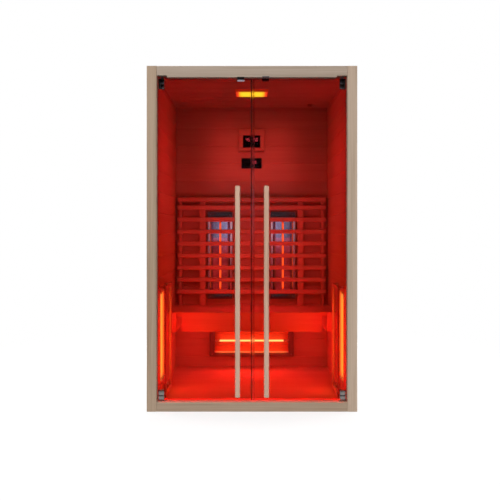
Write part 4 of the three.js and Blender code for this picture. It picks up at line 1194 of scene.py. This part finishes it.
# Place and target in metres, width and height, and watts
STUDIO_LAMPS = {
    "front_box": ((0, -9.0, 4.0), (0, -0.5, 1.0), (2.4, 2.4), 260),
    "front_left_box": ((-6.5, -6.5, 3.2), (0, -0.5, 1.0), (2.4, 2.4), 325),
    "front_right_box": ((6.5, -6.5, 3.2), (0, -0.5, 1.0), (2.4, 2.4), 325),
    "left_box": ((-4.5, 1.2, 2.2), (0, 0.3, 1.0), (2.5, 2.5), 135),
    "right_box": ((4.5, 1.2, 2.2), (0, 0.3, 1.0), (2.5, 2.5), 135),
    "back_box": ((0, 5.0, 2.2), (0, 0.5, 1.0), (3.0, 2.5), 170),
    "top_box": ((0, 0.3, 5.5), (0, 0.2, 1.9), (2.5, 2.5), 140),
}
for name, settings in STUDIO_LAMPS.items():
    soft_box(name, *settings)
print("studio lamps", ", ".join(STUDIO_LAMPS))

# %% [markdown]
# ## What the metal sees
#
# Polished metal shows the room in front of it. Behind the camera that is a dark studio with a pale band of
# daylight at eye level, brightest in the middle. One card stands for it, which is simpler than a furnished
# room. Only reflections see it: it lights nothing, and it is clear to every other look.

# %% Studio card
CARD_PLACE = (0, -4.8, 2.0)
CARD_HALF = 7.0
bm = bmesh.new()
upright = Matrix.Translation(CARD_PLACE) @ Matrix.Rotation(math.radians(90), 4, "X")
bmesh.ops.create_grid(bm, size=CARD_HALF, matrix=upright)
card, tree = stage_piece("studio_card", bm, "card_dark_with_pale_band")
card.visible_camera = card.visible_diffuse = card.visible_shadow = False
print("studio card", [round(side, 2) for side in card.dimensions])

# %% Card paint
# Stops are shares of this height in metres. The band is bright up to its half width and faint past its end.
BAND_SCALE = 4.0
BAND_STOPS = [(0.02, "#140E10"), (0.55, "#0C0A0A"), (0.192, "#2A2028"), (0.213, "#7E7694"),
              (0.237, "#D4C8E6"), (0.36, "#C6BED4")]
BAND_HALF, BAND_END = 0.42, 0.62
BAND_LIGHT, EDGE_LIGHT = 1.5, 0.3
place = add_node(tree, "ShaderNodeTexCoord", {}).outputs["Object"]
parts = add_node(tree, "ShaderNodeSeparateXYZ", {0: place})
height = add_node(tree, "ShaderNodeMapRange", {
    "Value": parts.outputs["Z"], "From Min": 0.0, "From Max": BAND_SCALE})
shade = add_node(tree, "ShaderNodeValToRGB", {0: height.outputs[0]}, stops=BAND_STOPS)
path = add_node(tree, "ShaderNodeLightPath", {}).outputs
gone = left_room(tree, path, "Diffuse Depth")
kept = add_node(tree, "ShaderNodeMath", {0: 1.0, 1: gone}, operation="SUBTRACT")
across = add_node(tree, "ShaderNodeMath", {0: parts.outputs["X"]}, operation="ABSOLUTE")
level = add_node(tree, "ShaderNodeMapRange", {
    "Value": across.outputs[0], "From Min": BAND_HALF, "From Max": BAND_END,
    "To Min": BAND_LIGHT, "To Max": EDGE_LIGHT})
strength = add_node(tree, "ShaderNodeMath", {0: level.outputs[0], 1: kept.outputs[0]}, operation="MULTIPLY")
pale = add_node(tree, "ShaderNodeEmission", {"Color": shade.outputs[0], "Strength": strength.outputs[0]})
clear = add_node(tree, "ShaderNodeBsdfTransparent", {})
mirrored = add_node(tree, "ShaderNodeMath", {0: path["Glossy Depth"], 1: 1.0}, operation="MINIMUM")
seen = add_node(tree, "ShaderNodeMixShader", {
    0: mirrored.outputs[0], 1: clear.outputs[0], 2: pale.outputs[0]})
add_node(tree, "ShaderNodeOutputMaterial", {"Surface": seen.outputs[0]})
print("card paint with", len(tree.nodes), "nodes")

# %% [markdown]
# ## The heaters' light
#
# The glow of the tubes colours the room: deep red on the floor and the walls, and a little pinker on the
# slats and the back wall, which face the daylight at the doors. A faint blue lamp is the daylight that
# reaches the ceiling. Traced from the thin tubes the red would be noisy, so soft lamps stand where that
# light arrives. Lamps on the two sides are mirror images.

# %% Heater light
DEEP_RED = (1.0, 0.008, 0.008)
WALL_RED = (1.0, 0.015, 0.022)
ROSE_RED = (1.0, 0.055, 0.06)
DAYLIGHT = (0.4, 0.55, 1.0)
AMBER = (1.0, 0.4, 0.1)
# Place and target in metres, width and height, watts, colour, and the spread of narrow ones in degrees
ROOM_LAMPS = {
    "bench_heater_light": ((0, 0.401, 0.23), (0, 0, 0.23), (0.49, 0.06), 3.1, DEEP_RED),
    "bench_glow": ((0, 0.12, 0.3), (0, 0.45, 0.2), (0.9, 0.1), 0.8, ROSE_RED),
    "seat_glow": ((0, 0.1, 0.8), (0, 0.2, 0.49), (0.9, 0.06), 0.62, WALL_RED, 100),
    "slat_glow": ((0, -0.25, 0.95), (0, 0.4, 0.9), (0.8, 0.3), 1.3, ROSE_RED, 120),
    "back_glow": ((0, 0.22, 1.58), (0, 0.45, 1.58), (0.6, 0.42), 0.34, ROSE_RED, 88),
    "day_glow": ((0, -0.3, 1.0), (0, 0.15, 1.9), (0.9, 0.3), 0.085, DAYLIGHT, 120),
    "sill_glow": ((0, -0.486, 0.1), (0, -0.486, 0.05), (1.05, 0.012), 0.15, DEEP_RED, 60),
    "lip_glow": ((0, 0.385, 0.15), (0, 0.41, 0.15), (0.5, 0.012), 0.02, AMBER, 100),
    "step_glow": ((0, -0.442, 0.12), (0, -0.442, 0.05), (1.05, 0.02), 0.7, DEEP_RED, 60),
}
for name, settings in ROOM_LAMPS.items():
    soft_box(name, *settings)

SIDE_LAMPS = {
    "side_glow": ((0.5, -0.2, 0.38), (0, -0.1, 0.38), (0.1, 0.5), 2.1, DEEP_RED),
    "wall_glow": ((-0.1, -0.15, 1.5), (1, -0.15, 1.36), (0.5, 0.5), 1.05, WALL_RED, 105),
    "edge_glow": ((0.5, -0.37, 0.38), (1, -0.37, 0.38), (0.03, 0.6), 0.35, DEEP_RED, 120),
    "guard_glow": ((0.42, -0.24, 0.38), (1, -0.24, 0.38), (0.1, 0.55), 0.5, DEEP_RED),
    "block_glow": ((0.53, -0.03, 0.42), (0.53, 0.05, 0.42), (0.03, 0.1), 0.065, DEEP_RED),
}
for side, sign in SIDES.items():
    mirror = Matrix.Diagonal((sign, 1, 1))
    for name, (place, target, *settings) in SIDE_LAMPS.items():
        soft_box(f"{name}_{side}", mirror @ Vector(place), mirror @ Vector(target), *settings)
print("room lamps", len(ROOM_LAMPS) + 2 * len(SIDE_LAMPS))

# %% [markdown]
# ## Glow on the reflectors
#
# A reflector is brightest of all, because its own tube is a few centimetres away. A strip lamp in front of
# each heater faces it and gives that glow: red on the lower part behind the slats, and orange under the
# bench and at the sides. It is the one kind of lamp that the metal may show.

# %% Reflector glow
# Watts, colour, and the share of the length that is lit, from the lower end
BOUNCES = {
    "back": (0.09, (1.0, 0.03, 0.02), 0.74),
    "bench": (0.03, AMBER, 1.0),
    "side": (0.5, (1.0, 0.45, 0.09), 1.0),
}
BOUNCE_MARGIN = 100
BOUNCE_WIDTH = 0.12
BOUNCE_GAP = 6
for name, (place, size) in heater_places.items():
    watts, colour, share = BOUNCES[name.split("_")[0]]
    reach = size.z - BOUNCE_MARGIN
    strip = (BOUNCE_WIDTH, reach * share / 1000)
    # The heater under the bench lies down, and so does its strip.
    if name == "bench_heater":
        strip = strip[::-1]
    start = place @ at(0, -size.y - BOUNCE_GAP, (share - 1) * reach / 2)
    lamp = soft_box(f"{name}_bounce", start, start + place.to_3x3() @ BACKWARDS, strip, watts, colour)
    lamp.visible_glossy = True
print("reflector lamps", len(heater_places))
